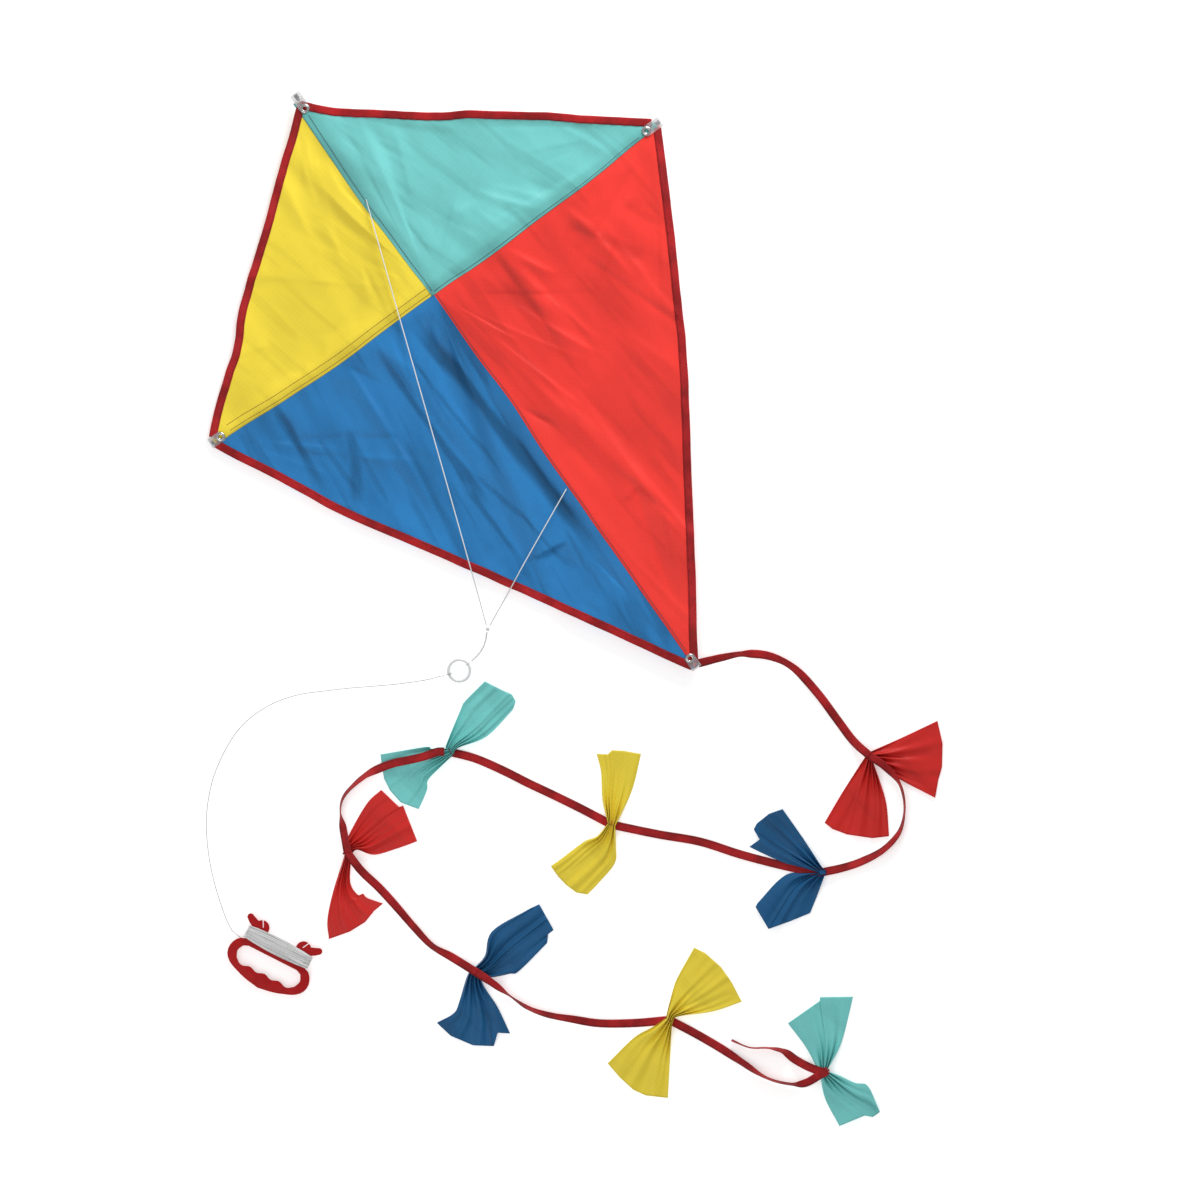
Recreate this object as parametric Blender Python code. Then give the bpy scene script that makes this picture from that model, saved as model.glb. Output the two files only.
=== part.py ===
"""A diamond kite with its bridle, flying line, hand winder and bow tail, lying face up.

Metres, +Z up. The origin is the flat underside of the centre fitting, where the two rods
cross. +Y runs along the spine to the nose, and the tail and the flying line lie on the
same flat surface as the kite, at z = 0.
"""
import math

import bmesh
import bpy
from mathutils import Matrix, Vector

MM = 0.001

# Sail: the four corners and the cut of each edge
NOSE = (0, 236)
RIGHT = (279, 9)
TAIL = (0, -464)
LEFT = (-267, 3)
# The rods cross where the straight line between the side corners meets the spine
CROSSING = (0, LEFT[1] - (RIGHT[1] - LEFT[1]) * LEFT[0] / (RIGHT[0] - LEFT[0]))
# Each edge, counterclockwise: share of its length, and how far it stands out of straight
NOSE_LEFT_BULGE = ((0.25, 3.5), (0.6, 6.0), (0.85, 3.5))
NOSE_RIGHT_BULGE = ((0.2, 4.0), (0.5, 2.5), (0.75, -6.5), (0.88, -5.0))
TAIL_RIGHT_BULGE = ((0.2, 8.0), (0.45, 13.5), (0.7, 16.5), (0.88, 10.0))
TAIL_LEFT_BULGE = ((0.15, 6.5), (0.35, 11.0), (0.6, 5.5), (0.85, 2.5))
POINTS_PER_EDGE = 14
CLOTH = 0.3
TAPE_WIDTH = 8.0
TAPE_THICKNESS = 0.9
SEAM_GAP = 0.3
BARE_CORNER = 16.0
RIDGE_Z = 11.2
RIDGE_SLOPE = 0.0225

# Rods, end caps and the turning fitting where the rods cross
ROD_DIAMETER = 2.5
CROSS_Z = 2.8
SPINE_Z = 8.5
CAP_OUTER = 4.0
CAP_BORE = 3.0
CAP_LENGTH = 7.0
CAP_WALL = 1.3
TIP_ROOM = 1.2
SLEEVE_LENGTH = 26.0
SLEEVE_WIDTH = 8.0
SLEEVE_BORE = 3.1
LOWER_TOP = 4.9
UPPER_HEIGHT = 4.3
TURNTABLE_RADIUS = 5.0
TURNTABLE_TOP = 6.4
COLLAR_RADIUS = 8.5
COLLAR_RISE = 1.2

# Corner pockets: a clear strip folded over the rod tip, with an eyelet through it
POCKET_WIDTH = 11.0
VINYL = 0.5
EYELET_RADIUS = 4.8
EYELET_HOLE = 1.9
BARREL_RADIUS = 2.4
EYELET_CUT = 2.7
FLANGE = 0.35
# Corner: how far the eyelet and the fold are from where the rods cross
POCKETS = {
    "nose": {"corner": NOSE, "eyelet": 222.0, "fold": 241.0},
    "right": {"corner": RIGHT, "eyelet": 272.5, "fold": 290.5},
    "tail": {"corner": TAIL, "eyelet": 463.0, "fold": 475.5},
    "left": {"corner": LEFT, "eyelet": 262.6, "fold": 275.5},
}
POCKET_REACH = 7.0

# Bridle, tow ring and flying line
BRIDLE_TOP_Y = 117.0
BRIDLE_LOW_Y = -243.0
BRIDLE_CORD = 1.2
LINE_CORD = 0.7
JUNCTION = (-152, -314, 2.6)
RING_CENTRE = (-200, -332, 3.2)
RING_RADIUS = 11.0
RING_WIRE = 1.5
LINK_RADIUS = 2.4
LINK_WIRE = 0.5
UPPER_LEG = ((-2, 116, 12.6), (-30, 36, 12.4), (-90, -137, 11.9), (-127, -243, 10.6),
             (-140, -280, 7.0), (-151, -310.5, 2.8))
LOWER_LEG = ((-4, -243, 12.6), (-40, -260, 12.2), (-84, -281, 11.6), (-112, -295, 9.4),
             (-132, -304.6, 5.4), (-148.4, -312.4, 2.8))
TOW_LOOP = ((-154.4, -316.2, 2.6), (-160, -322, 2.0), (-167, -326.8, 1.6), (-176, -330, 1.8),
            (-184.2, -331.2, 3.0))
FLYING_LINE = ((-215.3, -327.6, 3.0), (-221, -325, 1.9), (-233, -320.5, 1.1), (-256, -309, 0.8),
               (-279, -296, 0.8), (-301, -283, 0.8), (-325, -270, 0.8), (-350, -257.5, 0.8),
               (-378, -250, 0.8), (-409, -250, 0.8), (-437, -259, 0.8), (-466, -276, 0.8),
               (-488, -296, 0.8), (-505, -318, 0.8), (-520, -345, 0.8), (-531, -372, 0.8),
               (-538, -395, 0.9), (-541, -408, 1.2), (-542, -416, 1.6))

# Hand winder, drawn about the middle of its bar: u along the bar, v towards the horns
WINDER_CENTRE = (-513, -457)
WINDER_TURN = -62.0
WINDER_LOW = 3.2
WINDER_THICK = 5.0
HORN = (39.0, 14.8, 3.5)
LOBE = (23.8, 10.0, 7.8)
NECK_HALF = 33.2
WINDING_OUTER = 36.4
WINDING_WIDTH = 13.0
WINDING_LOW = 0.4
WINDING_HIGH = 11.0
FINGER_BUMP = 1.2
FINGER_PITCH = 16.5

# Tail: flat ribbon laid on the surface, lifted where it runs into a bow's knot
RIBBON_WIDTH = 8.4
RIBBON_THICKNESS = 0.6
RIBBON_Z = 0.8
RIBBON_LIFTED = 4.6
LIFT_RAMP = 30.0
BOW_LOW = 0.4
BOW_THICKNESS = 3.0
KNOT_RADIUS = 5.0
WAIST = 3.5
KNOT_TOP = 7.4
KNOT_GAP = 5.6
TAB_Z = 4.6

# Knot, then the outer points of the two wings, both counted the same way round
BOWS = {
    "bow_1": {"knot": (93, -644), "colour": "red",
              "wings": (((123, -717), (136, -704), (147, -695), (161, -676), (170, -654)),
                        ((16, -673), (19, -683), (28, -696), (47, -714), (62, -722)))},
    "bow_2": {"knot": (-15, -713), "colour": "blue",
              "wings": (((-11, -637), (-25, -633), (-47, -637), (-48, -649), (-61, -649)),
                        ((-46, -694), (-83, -700), (-91, -703), (-93, -729), (-49, -740),
                         (-35, -731)))},
    "bow_3": {"knot": (-163, -550), "colour": "yellow",
              "wings": (((-123, -531), (-97, -508), (-119, -488), (-134, -482), (-156, -524)),
                        ((-196, -548), (-238, -549), (-236, -574), (-224, -594),
                         (-183, -584)))},
    "bow_4": {"knot": (-255, -395), "colour": "teal",
              "wings": (((-216, -403), (-178, -396), (-170, -383), (-185, -356), (-221, -365)),
                        ((-273, -376), (-315, -356), (-325, -376), (-325, -407), (-314, -423),
                         (-290, -405)))},
    "bow_5": {"knot": (-400, -419), "colour": "red",
              "wings": (((-379, -436), (-335, -450), (-328, -413), (-335, -386), (-355, -389),
                         (-387, -404)),
                        ((-435, -443), (-456, -463), (-466, -480), (-444, -486), (-426, -487),
                         (-400, -482), (-416, -460)))},
    "bow_6": {"knot": (-362, -595), "colour": "blue",
              "wings": (((-326, -618), (-286, -611), (-273, -604), (-270, -574), (-282, -572),
                         (-325, -569), (-345, -585)),
                        ((-405, -615), (-425, -613), (-421, -632), (-408, -653), (-391, -666),
                         (-370, -665), (-365, -635)))},
    "bow_7": {"knot": (-229, -747), "colour": "yellow",
              "wings": (((-188, -765), (-158, -774), (-155, -743), (-166, -701), (-206, -722)),
                        ((-269, -741), (-306, -747), (-300, -784), (-276, -811)))},
    "bow_8": {"knot": (-131, -881), "colour": "teal",
              "wings": (((-98, -866), (-62, -835), (-90, -816), (-132, -819)),
                        ((-145, -904), (-149, -935), (-122, -941), (-107, -947), (-102, -923),
                         (-119, -894)))},
}

# Each strip's route, then how far it stays lifted from its first and from its last end
TAIL_STRIPS = (
    (((7.4, -466), (27, -475), (48, -485), (68, -502), (81, -526), (86, -560), (87, -595),
      (88, -622), (93, -644)), 3, 10),
    (((93, -644), (99, -660), (102, -679), (98, -696), (88, -712), (72, -725), (49, -730),
      (24, -727), (4, -721), (-15, -713)), 55, 18),
    (((-15, -713), (-30, -699), (-46, -682), (-73, -650), (-99, -616), (-130, -585),
      (-163, -550)), 85, 18),
    (((-163, -550), (-180, -517), (-196, -488), (-208, -467), (-222, -441), (-238, -415),
      (-255, -395)), 18, 22),
    (((-255, -395), (-265, -387), (-280, -383), (-295, -377), (-312, -370), (-336, -365),
      (-356, -366), (-371, -370), (-381, -379), (-389, -395), (-400, -419)), 88, 22),
    (((-400, -419), (-399, -442), (-394, -467), (-391, -490), (-388, -520), (-384, -546),
      (-374, -567), (-362, -595)), 80, 22),
    (((-362, -595), (-355, -613), (-348, -634), (-340, -654), (-327, -672), (-309, -690),
      (-289, -709), (-260, -729), (-229, -747)), 55, 36),
    (((-229, -747), (-216, -772), (-203, -800), (-193, -825), (-183, -850), (-169, -868),
      (-153, -879), (-131, -881)), 25, 12),
    (((-131, -881), (-140, -868), (-147, -854), (-152, -840), (-163, -828), (-178, -817),
      (-189, -800)), 14, 0),
)
END_LIFT = 7.0

SIDES_ROD = 12
SIDES_LARGE = 32


def start_scene():
    """Remove what a new file holds, and make the two collections."""
    for item in list(bpy.data.objects):
        bpy.data.objects.remove(item, do_unlink=True)
    root = bpy.context.scene.collection
    parts = bpy.data.collections.new("diamond_kite")
    cutters = bpy.data.collections.new("cutters")
    root.children.link(parts)
    root.children.link(cutters)
    return parts, cutters


PARTS, CUTTERS = start_scene()


def finish(name, colour, roughness=0.6, metallic=0.0, alpha=1.0):
    """A plain Principled material with one colour."""
    made = bpy.data.materials.new(name)
    made.use_nodes = True
    shader = made.node_tree.nodes["Principled BSDF"]
    shader.inputs["Base Color"].default_value = (*colour, 1.0)
    shader.inputs["Roughness"].default_value = roughness
    shader.inputs["Metallic"].default_value = metallic
    shader.inputs["Alpha"].default_value = alpha
    return made


CLOTH_RED = finish("red_nylon", (0.75, 0.05, 0.05))
CLOTH_TEAL = finish("teal_nylon", (0.22, 0.58, 0.55))
CLOTH_YELLOW = finish("yellow_nylon", (0.82, 0.67, 0.06))
CLOTH_BLUE = finish("blue_nylon", (0.04, 0.16, 0.36))
CLOTHS = {"red": CLOTH_RED, "teal": CLOTH_TEAL, "yellow": CLOTH_YELLOW, "blue": CLOTH_BLUE}
TAPE_RED = finish("dark_red_tape", (0.35, 0.01, 0.02), 0.7)
ROD_GREY = finish("glass_fibre_rod", (0.75, 0.74, 0.70), 0.4)
BLACK_PLASTIC = finish("black_plastic", (0.03, 0.03, 0.03), 0.5)
CLEAR_VINYL = finish("clear_vinyl", (0.8, 0.8, 0.8), 0.15, alpha=0.4)
NICKEL = finish("nickel", (0.75, 0.74, 0.72), 0.25, 1.0)
WHITE_CORD = finish("white_cord", (0.75, 0.76, 0.74), 0.8)
WHITE_PLASTIC = finish("white_plastic", (0.8, 0.8, 0.8), 0.35)
PALE_LINE = finish("pale_line", (0.68, 0.72, 0.66), 0.7)
RED_PLASTIC = finish("red_plastic", (0.45, 0.02, 0.03), 0.35)


def keep(thing, name, material, collection=PARTS):
    """Name an object, give it its material and file it in its collection."""
    thing.name = name
    thing.data.name = name
    thing.data.materials.clear()
    thing.data.materials.append(material)
    for owner in list(thing.users_collection):
        owner.objects.unlink(thing)
    collection.objects.link(thing)
    return thing


def curve_object(name, dimensions):
    data = bpy.data.curves.new(name, "CURVE")
    data.dimensions = dimensions
    thing = bpy.data.objects.new(name, data)
    PARTS.objects.link(thing)
    return thing


def add_spline(data, points, closed):
    spline = data.splines.new("POLY")
    spline.points.add(len(points) - 1)
    for point, place in zip(spline.points, points):
        place = [value * MM for value in place] + [0.0] * (3 - len(place))
        point.co = (*place, 1.0)
    spline.use_cyclic_u = closed
    return spline


def solid_mesh(thing):
    """Swap a curve object for the welded mesh of what it makes."""
    depsgraph = bpy.context.evaluated_depsgraph_get()
    mesh = bpy.data.meshes.new_from_object(thing.evaluated_get(depsgraph))
    shell = bmesh.new()
    shell.from_mesh(mesh)
    bmesh.ops.remove_doubles(shell, verts=shell.verts, dist=0.00001)
    bmesh.ops.recalc_face_normals(shell, faces=shell.faces)
    shell.to_mesh(mesh)
    shell.free()
    name = thing.name
    place = thing.matrix_world.copy()
    bpy.data.objects.remove(thing, do_unlink=True)
    solid = bpy.data.objects.new(name, mesh)
    solid.matrix_world = place
    PARTS.objects.link(solid)
    return solid


def flat_shape(name, outlines, low, high):
    """A flat plate: closed outlines in mm, the first outside and the rest holes in it."""
    thing = curve_object(name, "2D")
    for outline in outlines:
        add_spline(thing.data, outline, True)
    thing.data.fill_mode = "BOTH"
    thing.data.extrude = (high - low) * MM / 2
    thing.location.z = (low + high) * MM / 2
    bpy.context.view_layer.update()
    return solid_mesh(thing)


def bake_place(thing):
    """Move an object's place into its mesh."""
    thing.data.transform(thing.matrix_world)
    thing.matrix_world = Matrix.Identity(4)
    return thing


def cut(thing, cutter, operation="DIFFERENCE"):
    modifier = thing.modifiers.new(operation.lower(), "BOOLEAN")
    modifier.operation = operation
    modifier.object = cutter
    modifier.solver = "EXACT"
    return thing


def cutter_of(thing, name):
    thing.name = name
    for owner in list(thing.users_collection):
        owner.objects.unlink(thing)
    CUTTERS.objects.link(thing)
    thing.hide_render = True
    thing.display_type = "WIRE"
    return thing


def cylinder(radius, low, high, place=(0, 0), sides=SIDES_LARGE):
    """An upright cylinder between two heights."""
    bpy.ops.mesh.primitive_cylinder_add(
        vertices=sides, radius=radius * MM, depth=(high - low) * MM,
        location=(place[0] * MM, place[1] * MM, (low + high) * MM / 2))
    return bpy.context.active_object


def rod_along(radius, start, end, sides=SIDES_ROD):
    """A cylinder between two points, in mm."""
    start = Vector(start) * MM
    end = Vector(end) * MM
    bpy.ops.mesh.primitive_cylinder_add(
        vertices=sides, radius=radius * MM, depth=(end - start).length,
        location=(start + end) / 2)
    thing = bpy.context.active_object
    thing.rotation_mode = "QUATERNION"
    thing.rotation_quaternion = (end - start).to_track_quat("Z", "Y")
    bpy.context.view_layer.update()
    return thing


def box(size, place):
    bpy.ops.mesh.primitive_cube_add(size=1.0, location=[value * MM for value in place])
    thing = bpy.context.active_object
    thing.scale = [value * MM for value in size]
    bpy.ops.object.transform_apply(location=False, rotation=False, scale=True)
    return thing


def torus(major, minor, place, direction, sides=8, turns=16):
    """A ring whose hole looks along a direction."""
    bpy.ops.mesh.primitive_torus_add(
        major_radius=major * MM, minor_radius=minor * MM, major_segments=turns,
        minor_segments=sides, location=[value * MM for value in place],
        rotation=Vector(direction).to_track_quat("Z", "Y").to_euler())
    bpy.ops.object.shade_smooth()
    return bpy.context.active_object


def smooth_through(points, spacing):
    """Read a smooth curve through the points, with even steps of about the spacing."""
    ends = [Vector(p).to_3d() for p in points]
    ends = [2 * ends[0] - ends[1], *ends, 2 * ends[-1] - ends[-2]]
    fine = []
    for a, b, c, d in zip(ends, ends[1:], ends[2:], ends[3:]):
        for step in range(16):
            t = step / 16
            fine.append(0.5 * (2 * b + (c - a) * t + (2 * a - 5 * b + 4 * c - d) * t * t
                               + (3 * b - a - 3 * c + d) * t ** 3))
    fine.append(ends[-2])
    travelled = [0.0]
    for one, two in zip(fine, fine[1:]):
        travelled.append(travelled[-1] + (two - one).length)
    count = max(2, round(travelled[-1] / spacing))
    even = []
    index = 0
    for step in range(count + 1):
        target = travelled[-1] * step / count
        while index < len(fine) - 2 and travelled[index + 1] < target:
            index += 1
        share = (target - travelled[index]) / (travelled[index + 1] - travelled[index])
        even.append(fine[index].lerp(fine[index + 1], share))
    return even


def cord(name, points, diameter, material, spacing):
    """A round cord along a smooth route."""
    thing = curve_object(name, "3D")
    add_spline(thing.data, smooth_through(points, spacing), False)
    thing.data.bevel_depth = diameter * MM / 2
    thing.data.bevel_resolution = 2
    thing.data.use_fill_caps = True
    return keep(thing, name, material)


# ---------------------------------------------------------------- sail

def edge_line(start, end, bulges):
    """Points of one sail edge, from corner to corner, counterclockwise round the kite."""
    start = Vector(start)
    end = Vector(end)
    along = end - start
    side = Vector((along.y, -along.x)).normalized()
    knots = [start] + [start + along * share + side * out for share, out in bulges] + [end]
    line = smooth_through([knot.to_3d() for knot in knots], along.length / POINTS_PER_EDGE)
    return [Vector((point.x, point.y)) for point in line]


def clipped(run, trim):
    """The stretch of a run that is further than trim from both of its ends."""
    for _ in range(2):
        left = trim
        index = 0
        while left > (run[index + 1] - run[index]).length:
            left -= (run[index + 1] - run[index]).length
            index += 1
        step = (run[index + 1] - run[index]).normalized()
        run = [run[index] + step * left] + run[index + 1:]
        run = run[::-1]
    return run


def moved_in(run, distance):
    """A run of the sail's edge moved in from it by a distance."""
    moved = []
    for index, point in enumerate(run):
        ahead = run[min(index + 1, len(run) - 1)] - run[max(index - 1, 0)]
        moved.append(point + Vector((-ahead.y, ahead.x)).normalized() * distance)
    return moved


def settle(thing):
    """Slope a flat piece down from the spine to the cross spar's tips."""
    for vertex in thing.data.vertices:
        vertex.co.z -= RIDGE_SLOPE * abs(vertex.co.x)
    return thing


def make_sail(eyelet_cutters):
    """Four cloth panels, and the tape that binds each edge up to the corner pockets."""
    edges = (("nose_left", "yellow", NOSE, LEFT, NOSE_LEFT_BULGE, (-1, 1)),
             ("tail_left", "blue", LEFT, TAIL, TAIL_LEFT_BULGE, (-1, -1)),
             ("tail_right", "red", TAIL, RIGHT, TAIL_RIGHT_BULGE, (1, -1)),
             ("nose_right", "teal", RIGHT, NOSE, NOSE_RIGHT_BULGE, (1, 1)))
    for place, colour, start, end, bulges, quarter in edges:
        run = edge_line(start, end, bulges)
        bound = clipped(run, BARE_CORNER)
        tape = flat_shape("edge_tape_" + place, [bound + moved_in(bound, TAPE_WIDTH)[::-1]],
                          RIDGE_Z - (TAPE_THICKNESS - CLOTH) / 2,
                          RIDGE_Z + CLOTH + (TAPE_THICKNESS - CLOTH) / 2)
        bare = clipped(run, SEAM_GAP)
        held = clipped(run, BARE_CORNER - SEAM_GAP)
        outline = [bare[0], held[0], *moved_in(held, TAPE_WIDTH + SEAM_GAP), held[-1], bare[-1],
                   Vector(quarter) * SEAM_GAP / 2]
        panel = flat_shape("sail_" + place, [outline], RIDGE_Z, RIDGE_Z + CLOTH)
        keep(settle(bake_place(tape)), tape.name, TAPE_RED)
        keep(settle(bake_place(panel)), panel.name, CLOTHS[colour])
        cut(panel, eyelet_cutters)


# ---------------------------------------------------------------- rods and corners

def corner_frame(corner):
    """Direction from the crossing out to a corner, and the height of the rod there."""
    out = (Vector(POCKETS[corner]["corner"]) - Vector(CROSSING)).normalized()
    return out, SPINE_Z if corner in ("nose", "tail") else CROSS_Z


def on_rod(corner, distance, height=0.0):
    """The point at a distance from the crossing towards a corner."""
    out = corner_frame(corner)[0]
    return Vector((*(Vector(CROSSING) + out * distance), height))


def make_rods():
    for name, ends in (("spine_rod", ("nose", "tail")), ("cross_spar", ("left", "right"))):
        tips = [on_rod(corner, POCKETS[corner]["fold"] - VINYL - TIP_ROOM - CAP_WALL - SEAM_GAP,
                       corner_frame(corner)[1]) for corner in ends]
        rod = rod_along(ROD_DIAMETER / 2, *tips)
        rod.data.shade_smooth()
        keep(rod, name, ROD_GREY)
    for corner, size in POCKETS.items():
        height = corner_frame(corner)[1]
        tip = size["fold"] - VINYL - TIP_ROOM
        cap = rod_along(CAP_OUTER / 2, on_rod(corner, tip - CAP_LENGTH, height),
                        on_rod(corner, tip, height), 24)
        bore = rod_along(CAP_BORE / 2, on_rod(corner, tip - CAP_LENGTH - 2.0, height),
                         on_rod(corner, tip - CAP_WALL, height), 24)
        cutter_of(bore, "cap_bore_" + corner)
        keep(cap, "rod_cap_" + corner, BLACK_PLASTIC)
        cut(cap, bore)


def make_centre_fitting():
    """Two sleeves, one on each rod, joined by a collar that lets them turn."""
    out = corner_frame("right")[0]
    reach = SLEEVE_LENGTH
    lower = box((SLEEVE_LENGTH, SLEEVE_WIDTH, LOWER_TOP), (*CROSSING, LOWER_TOP / 2))
    lower.rotation_euler.z = math.atan2(out.y, out.x)
    collar = cylinder(COLLAR_RADIUS, 0.0, LOWER_TOP + COLLAR_RISE, CROSSING)
    cut(lower, cutter_of(collar, "collar"), "UNION")
    seat = cylinder(TURNTABLE_RADIUS + 0.3, LOWER_TOP, TURNTABLE_TOP, CROSSING)
    cut(lower, cutter_of(seat, "turntable_seat"))
    lower_bore = rod_along(SLEEVE_BORE / 2, on_rod("right", -reach, CROSS_Z),
                           on_rod("right", reach, CROSS_Z))
    cut(lower, cutter_of(lower_bore, "cross_bore"))
    keep(lower, "cross_sleeve", BLACK_PLASTIC)
    upper = box((SLEEVE_WIDTH, SLEEVE_LENGTH, UPPER_HEIGHT),
                (*CROSSING, TURNTABLE_TOP + UPPER_HEIGHT / 2))
    foot = cylinder(TURNTABLE_RADIUS, LOWER_TOP + 0.3, TURNTABLE_TOP + 0.5, CROSSING)
    cut(upper, cutter_of(foot, "turntable_foot"), "UNION")
    upper_bore = rod_along(SLEEVE_BORE / 2, on_rod("nose", -reach, SPINE_Z),
                           on_rod("nose", reach, SPINE_Z))
    cut(upper, cutter_of(upper_bore, "spine_bore"))
    keep(upper, "spine_sleeve", BLACK_PLASTIC)


def make_corner_pocket(corner, eyelet_cutters):
    """A strip folded round the rod's tip: a thick C in side view, as wide as the strip."""
    out, height = corner_frame(corner)
    size = POCKETS[corner]
    start = size["eyelet"] - POCKET_REACH
    sail_top = RIDGE_Z + CLOTH + 0.3 - RIDGE_SLOPE * abs(out.x) * start
    top = sail_top + 0.75
    low = height - CAP_OUTER / 2 - 0.3 - VINYL
    fold = size["fold"]
    grip = size["eyelet"] + EYELET_RADIUS + 0.6 if corner in ("nose", "right") else fold - 9.0
    profile = ((start, top), (fold - 1.2, top), (fold, top - 1.2), (fold, low + 1.2),
               (fold - 1.2, low), (grip, low), (grip, low + VINYL), (fold - 1.4, low + VINYL),
               (fold - VINYL, low + 1.4), (fold - VINYL, top - 1.4), (fold - 1.4, top - VINYL),
               (start, top - VINYL))
    strip = flat_shape("corner_pocket_" + corner, [profile], -POCKET_WIDTH / 2, POCKET_WIDTH / 2)
    stand = Matrix(((out.x, 0, out.y, 0), (out.y, 0, -out.x, 0), (0, 1, 0, 0), (0, 0, 0, 1)))
    place = Matrix.Translation(on_rod(corner, 0.0) * MM)
    strip.matrix_world = place @ stand @ strip.matrix_world
    bake_place(strip)
    keep(strip, "corner_pocket_" + corner, CLEAR_VINYL)
    cut(strip, eyelet_cutters)
    return top


def eyelet_place(corner):
    return on_rod(corner, POCKETS[corner]["eyelet"])


def make_eyelet_cutters():
    """One cutter object with the four upright holes for the eyelets."""
    holes = [cylinder(EYELET_CUT, 4.4 if corner in ("left", "right") else 10.2, 16.0,
                      eyelet_place(corner)[:2], 24) for corner in POCKETS]
    for hole in holes:
        hole.select_set(True)
    bpy.context.view_layer.objects.active = holes[0]
    bpy.ops.object.join()
    return cutter_of(bpy.context.active_object, "eyelet_holes")


def make_eyelet(corner, pocket_top):
    """A turned eyelet: rolled rim above the pocket, barrel, and flange under the sail."""
    place = eyelet_place(corner)
    high = pocket_top + 0.3
    low = RIDGE_Z - RIDGE_SLOPE * abs(place.x) - 0.2 - FLANGE
    profile = ((BARREL_RADIUS, low + FLANGE), (BARREL_RADIUS + 1.2, low + FLANGE),
               (BARREL_RADIUS + 1.2, low), (EYELET_HOLE, low), (EYELET_HOLE, high + 0.9),
               (EYELET_RADIUS - 1.2, high + 0.9), (EYELET_RADIUS, high + 0.45),
               (EYELET_RADIUS, high), (BARREL_RADIUS, high))
    mesh = bpy.data.meshes.new("eyelet_" + corner)
    thing = bpy.data.objects.new("eyelet_" + corner, mesh)
    PARTS.objects.link(thing)
    shell = bmesh.new()
    ring = [shell.verts.new((x * MM, 0, z * MM)) for x, z in profile]
    edges = [shell.edges.new((a, b)) for a, b in zip(ring, ring[1:] + ring[:1])]
    bmesh.ops.spin(shell, geom=ring + edges, axis=(0, 0, 1), cent=(0, 0, 0), steps=24,
                   angle=math.tau, use_merge=True)
    bmesh.ops.recalc_face_normals(shell, faces=shell.faces)
    shell.to_mesh(mesh)
    shell.free()
    thing.location = (place.x * MM, place.y * MM, 0)
    mesh.shade_smooth()
    mesh.set_sharp_from_angle(angle=math.radians(35))
    keep(thing, thing.name, NICKEL)


# ---------------------------------------------------------------- bridle and ring

def make_bridle():
    for name, y in (("bridle_hitch_upper", BRIDLE_TOP_Y), ("bridle_hitch_lower", BRIDLE_LOW_Y)):
        keep(torus(1.95, 0.5, (0, y, SPINE_Z), (0, 1, 0)), name, WHITE_CORD)
    cord("bridle_upper_leg", UPPER_LEG, BRIDLE_CORD, WHITE_CORD, 15)
    cord("bridle_lower_leg", LOWER_LEG, BRIDLE_CORD, WHITE_CORD, 8)
    bpy.ops.mesh.primitive_uv_sphere_add(segments=16, ring_count=10, radius=MM,
                                         location=[value * MM for value in JUNCTION])
    knot = bpy.context.active_object
    knot.scale = (1.9, 2.0, 1.7)
    bpy.ops.object.transform_apply(location=False, rotation=False, scale=True)
    knot.data.shade_smooth()
    keep(knot, "bridle_knot", WHITE_CORD)
    cord("tow_loop", TOW_LOOP, 1.6, WHITE_CORD, 3.5)
    ring_at = Vector(RING_CENTRE)
    keep(torus(RING_RADIUS, RING_WIRE, ring_at, (0, 0, 1), 10, 36), "tow_ring", WHITE_PLASTIC)
    for name, toward, material in (("tow_loop_link", TOW_LOOP[-1], WHITE_CORD),
                                   ("line_hitch", FLYING_LINE[0], PALE_LINE)):
        out = (Vector(toward) - ring_at).to_2d().normalized()
        place = ring_at + (out * RING_RADIUS).to_3d()
        keep(torus(LINK_RADIUS, LINK_WIRE, place, (-out.y, out.x, 0)), name, material)
    cord("flying_line", FLYING_LINE, LINE_CORD, PALE_LINE, 11)


# ---------------------------------------------------------------- winder

def arc(centre, radius, first, last, steps):
    """Points along an arc, from one angle to another in degrees."""
    angles = [math.radians(first + (last - first) * i / steps) for i in range(steps + 1)]
    return [(centre[0] + radius * math.cos(a), centre[1] + radius * math.sin(a))
            for a in angles]


def winder_half():
    """The right half of the winder's outline, from the top of the bar round to the foot."""
    top = [(0, 5.0), (15.5, 5.0)]
    lobe = arc(LOBE[:2], LOBE[2], 178, 38, 8)
    horn = arc(HORN[:2], HORN[2], 130, -40, 8)
    neck = [(37.6, 9.2), (NECK_HALF + 1.2, 7.4), (NECK_HALF, 5.0), (NECK_HALF, -5.0),
            (NECK_HALF + 1.2, -7.4)]
    handle = smooth_through([(38.6, -8.8, 0), (42.8, -13.5, 0), (45.2, -21.5, 0), (43.4, -29.5, 0),
                             (37.5, -35.6, 0), (29.5, -39.4, 0), (16, -43.8, 0), (0, -46.6, 0)], 4.5)
    return top + lobe + horn + neck + [(p.x, p.y) for p in handle[:-1]]


def finger_hole():
    """The finger opening: a long rounded slot whose lower side is waved for four fingers."""
    upper = [(27.5, -12.6), (-27.5, -12.6)]
    left = smooth_through([(-32.6, -14.8, 0), (-35.6, -21.5, 0), (-33.0, -28.6, 0)], 2.5)
    wave = []
    for step in range(41):
        u = -28.5 + 57.0 * step / 40
        wave.append((u, -32.0 + FINGER_BUMP * math.cos(math.tau * u / FINGER_PITCH)))
    right = [(-p.x, p.y) for p in reversed(left)]
    return upper + [(p.x, p.y) for p in left] + wave + right


def winder_place():
    move = Matrix.Translation((WINDER_CENTRE[0] * MM, WINDER_CENTRE[1] * MM, 0))
    return move @ Matrix.Rotation(math.radians(WINDER_TURN), 4, "Z")


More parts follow.
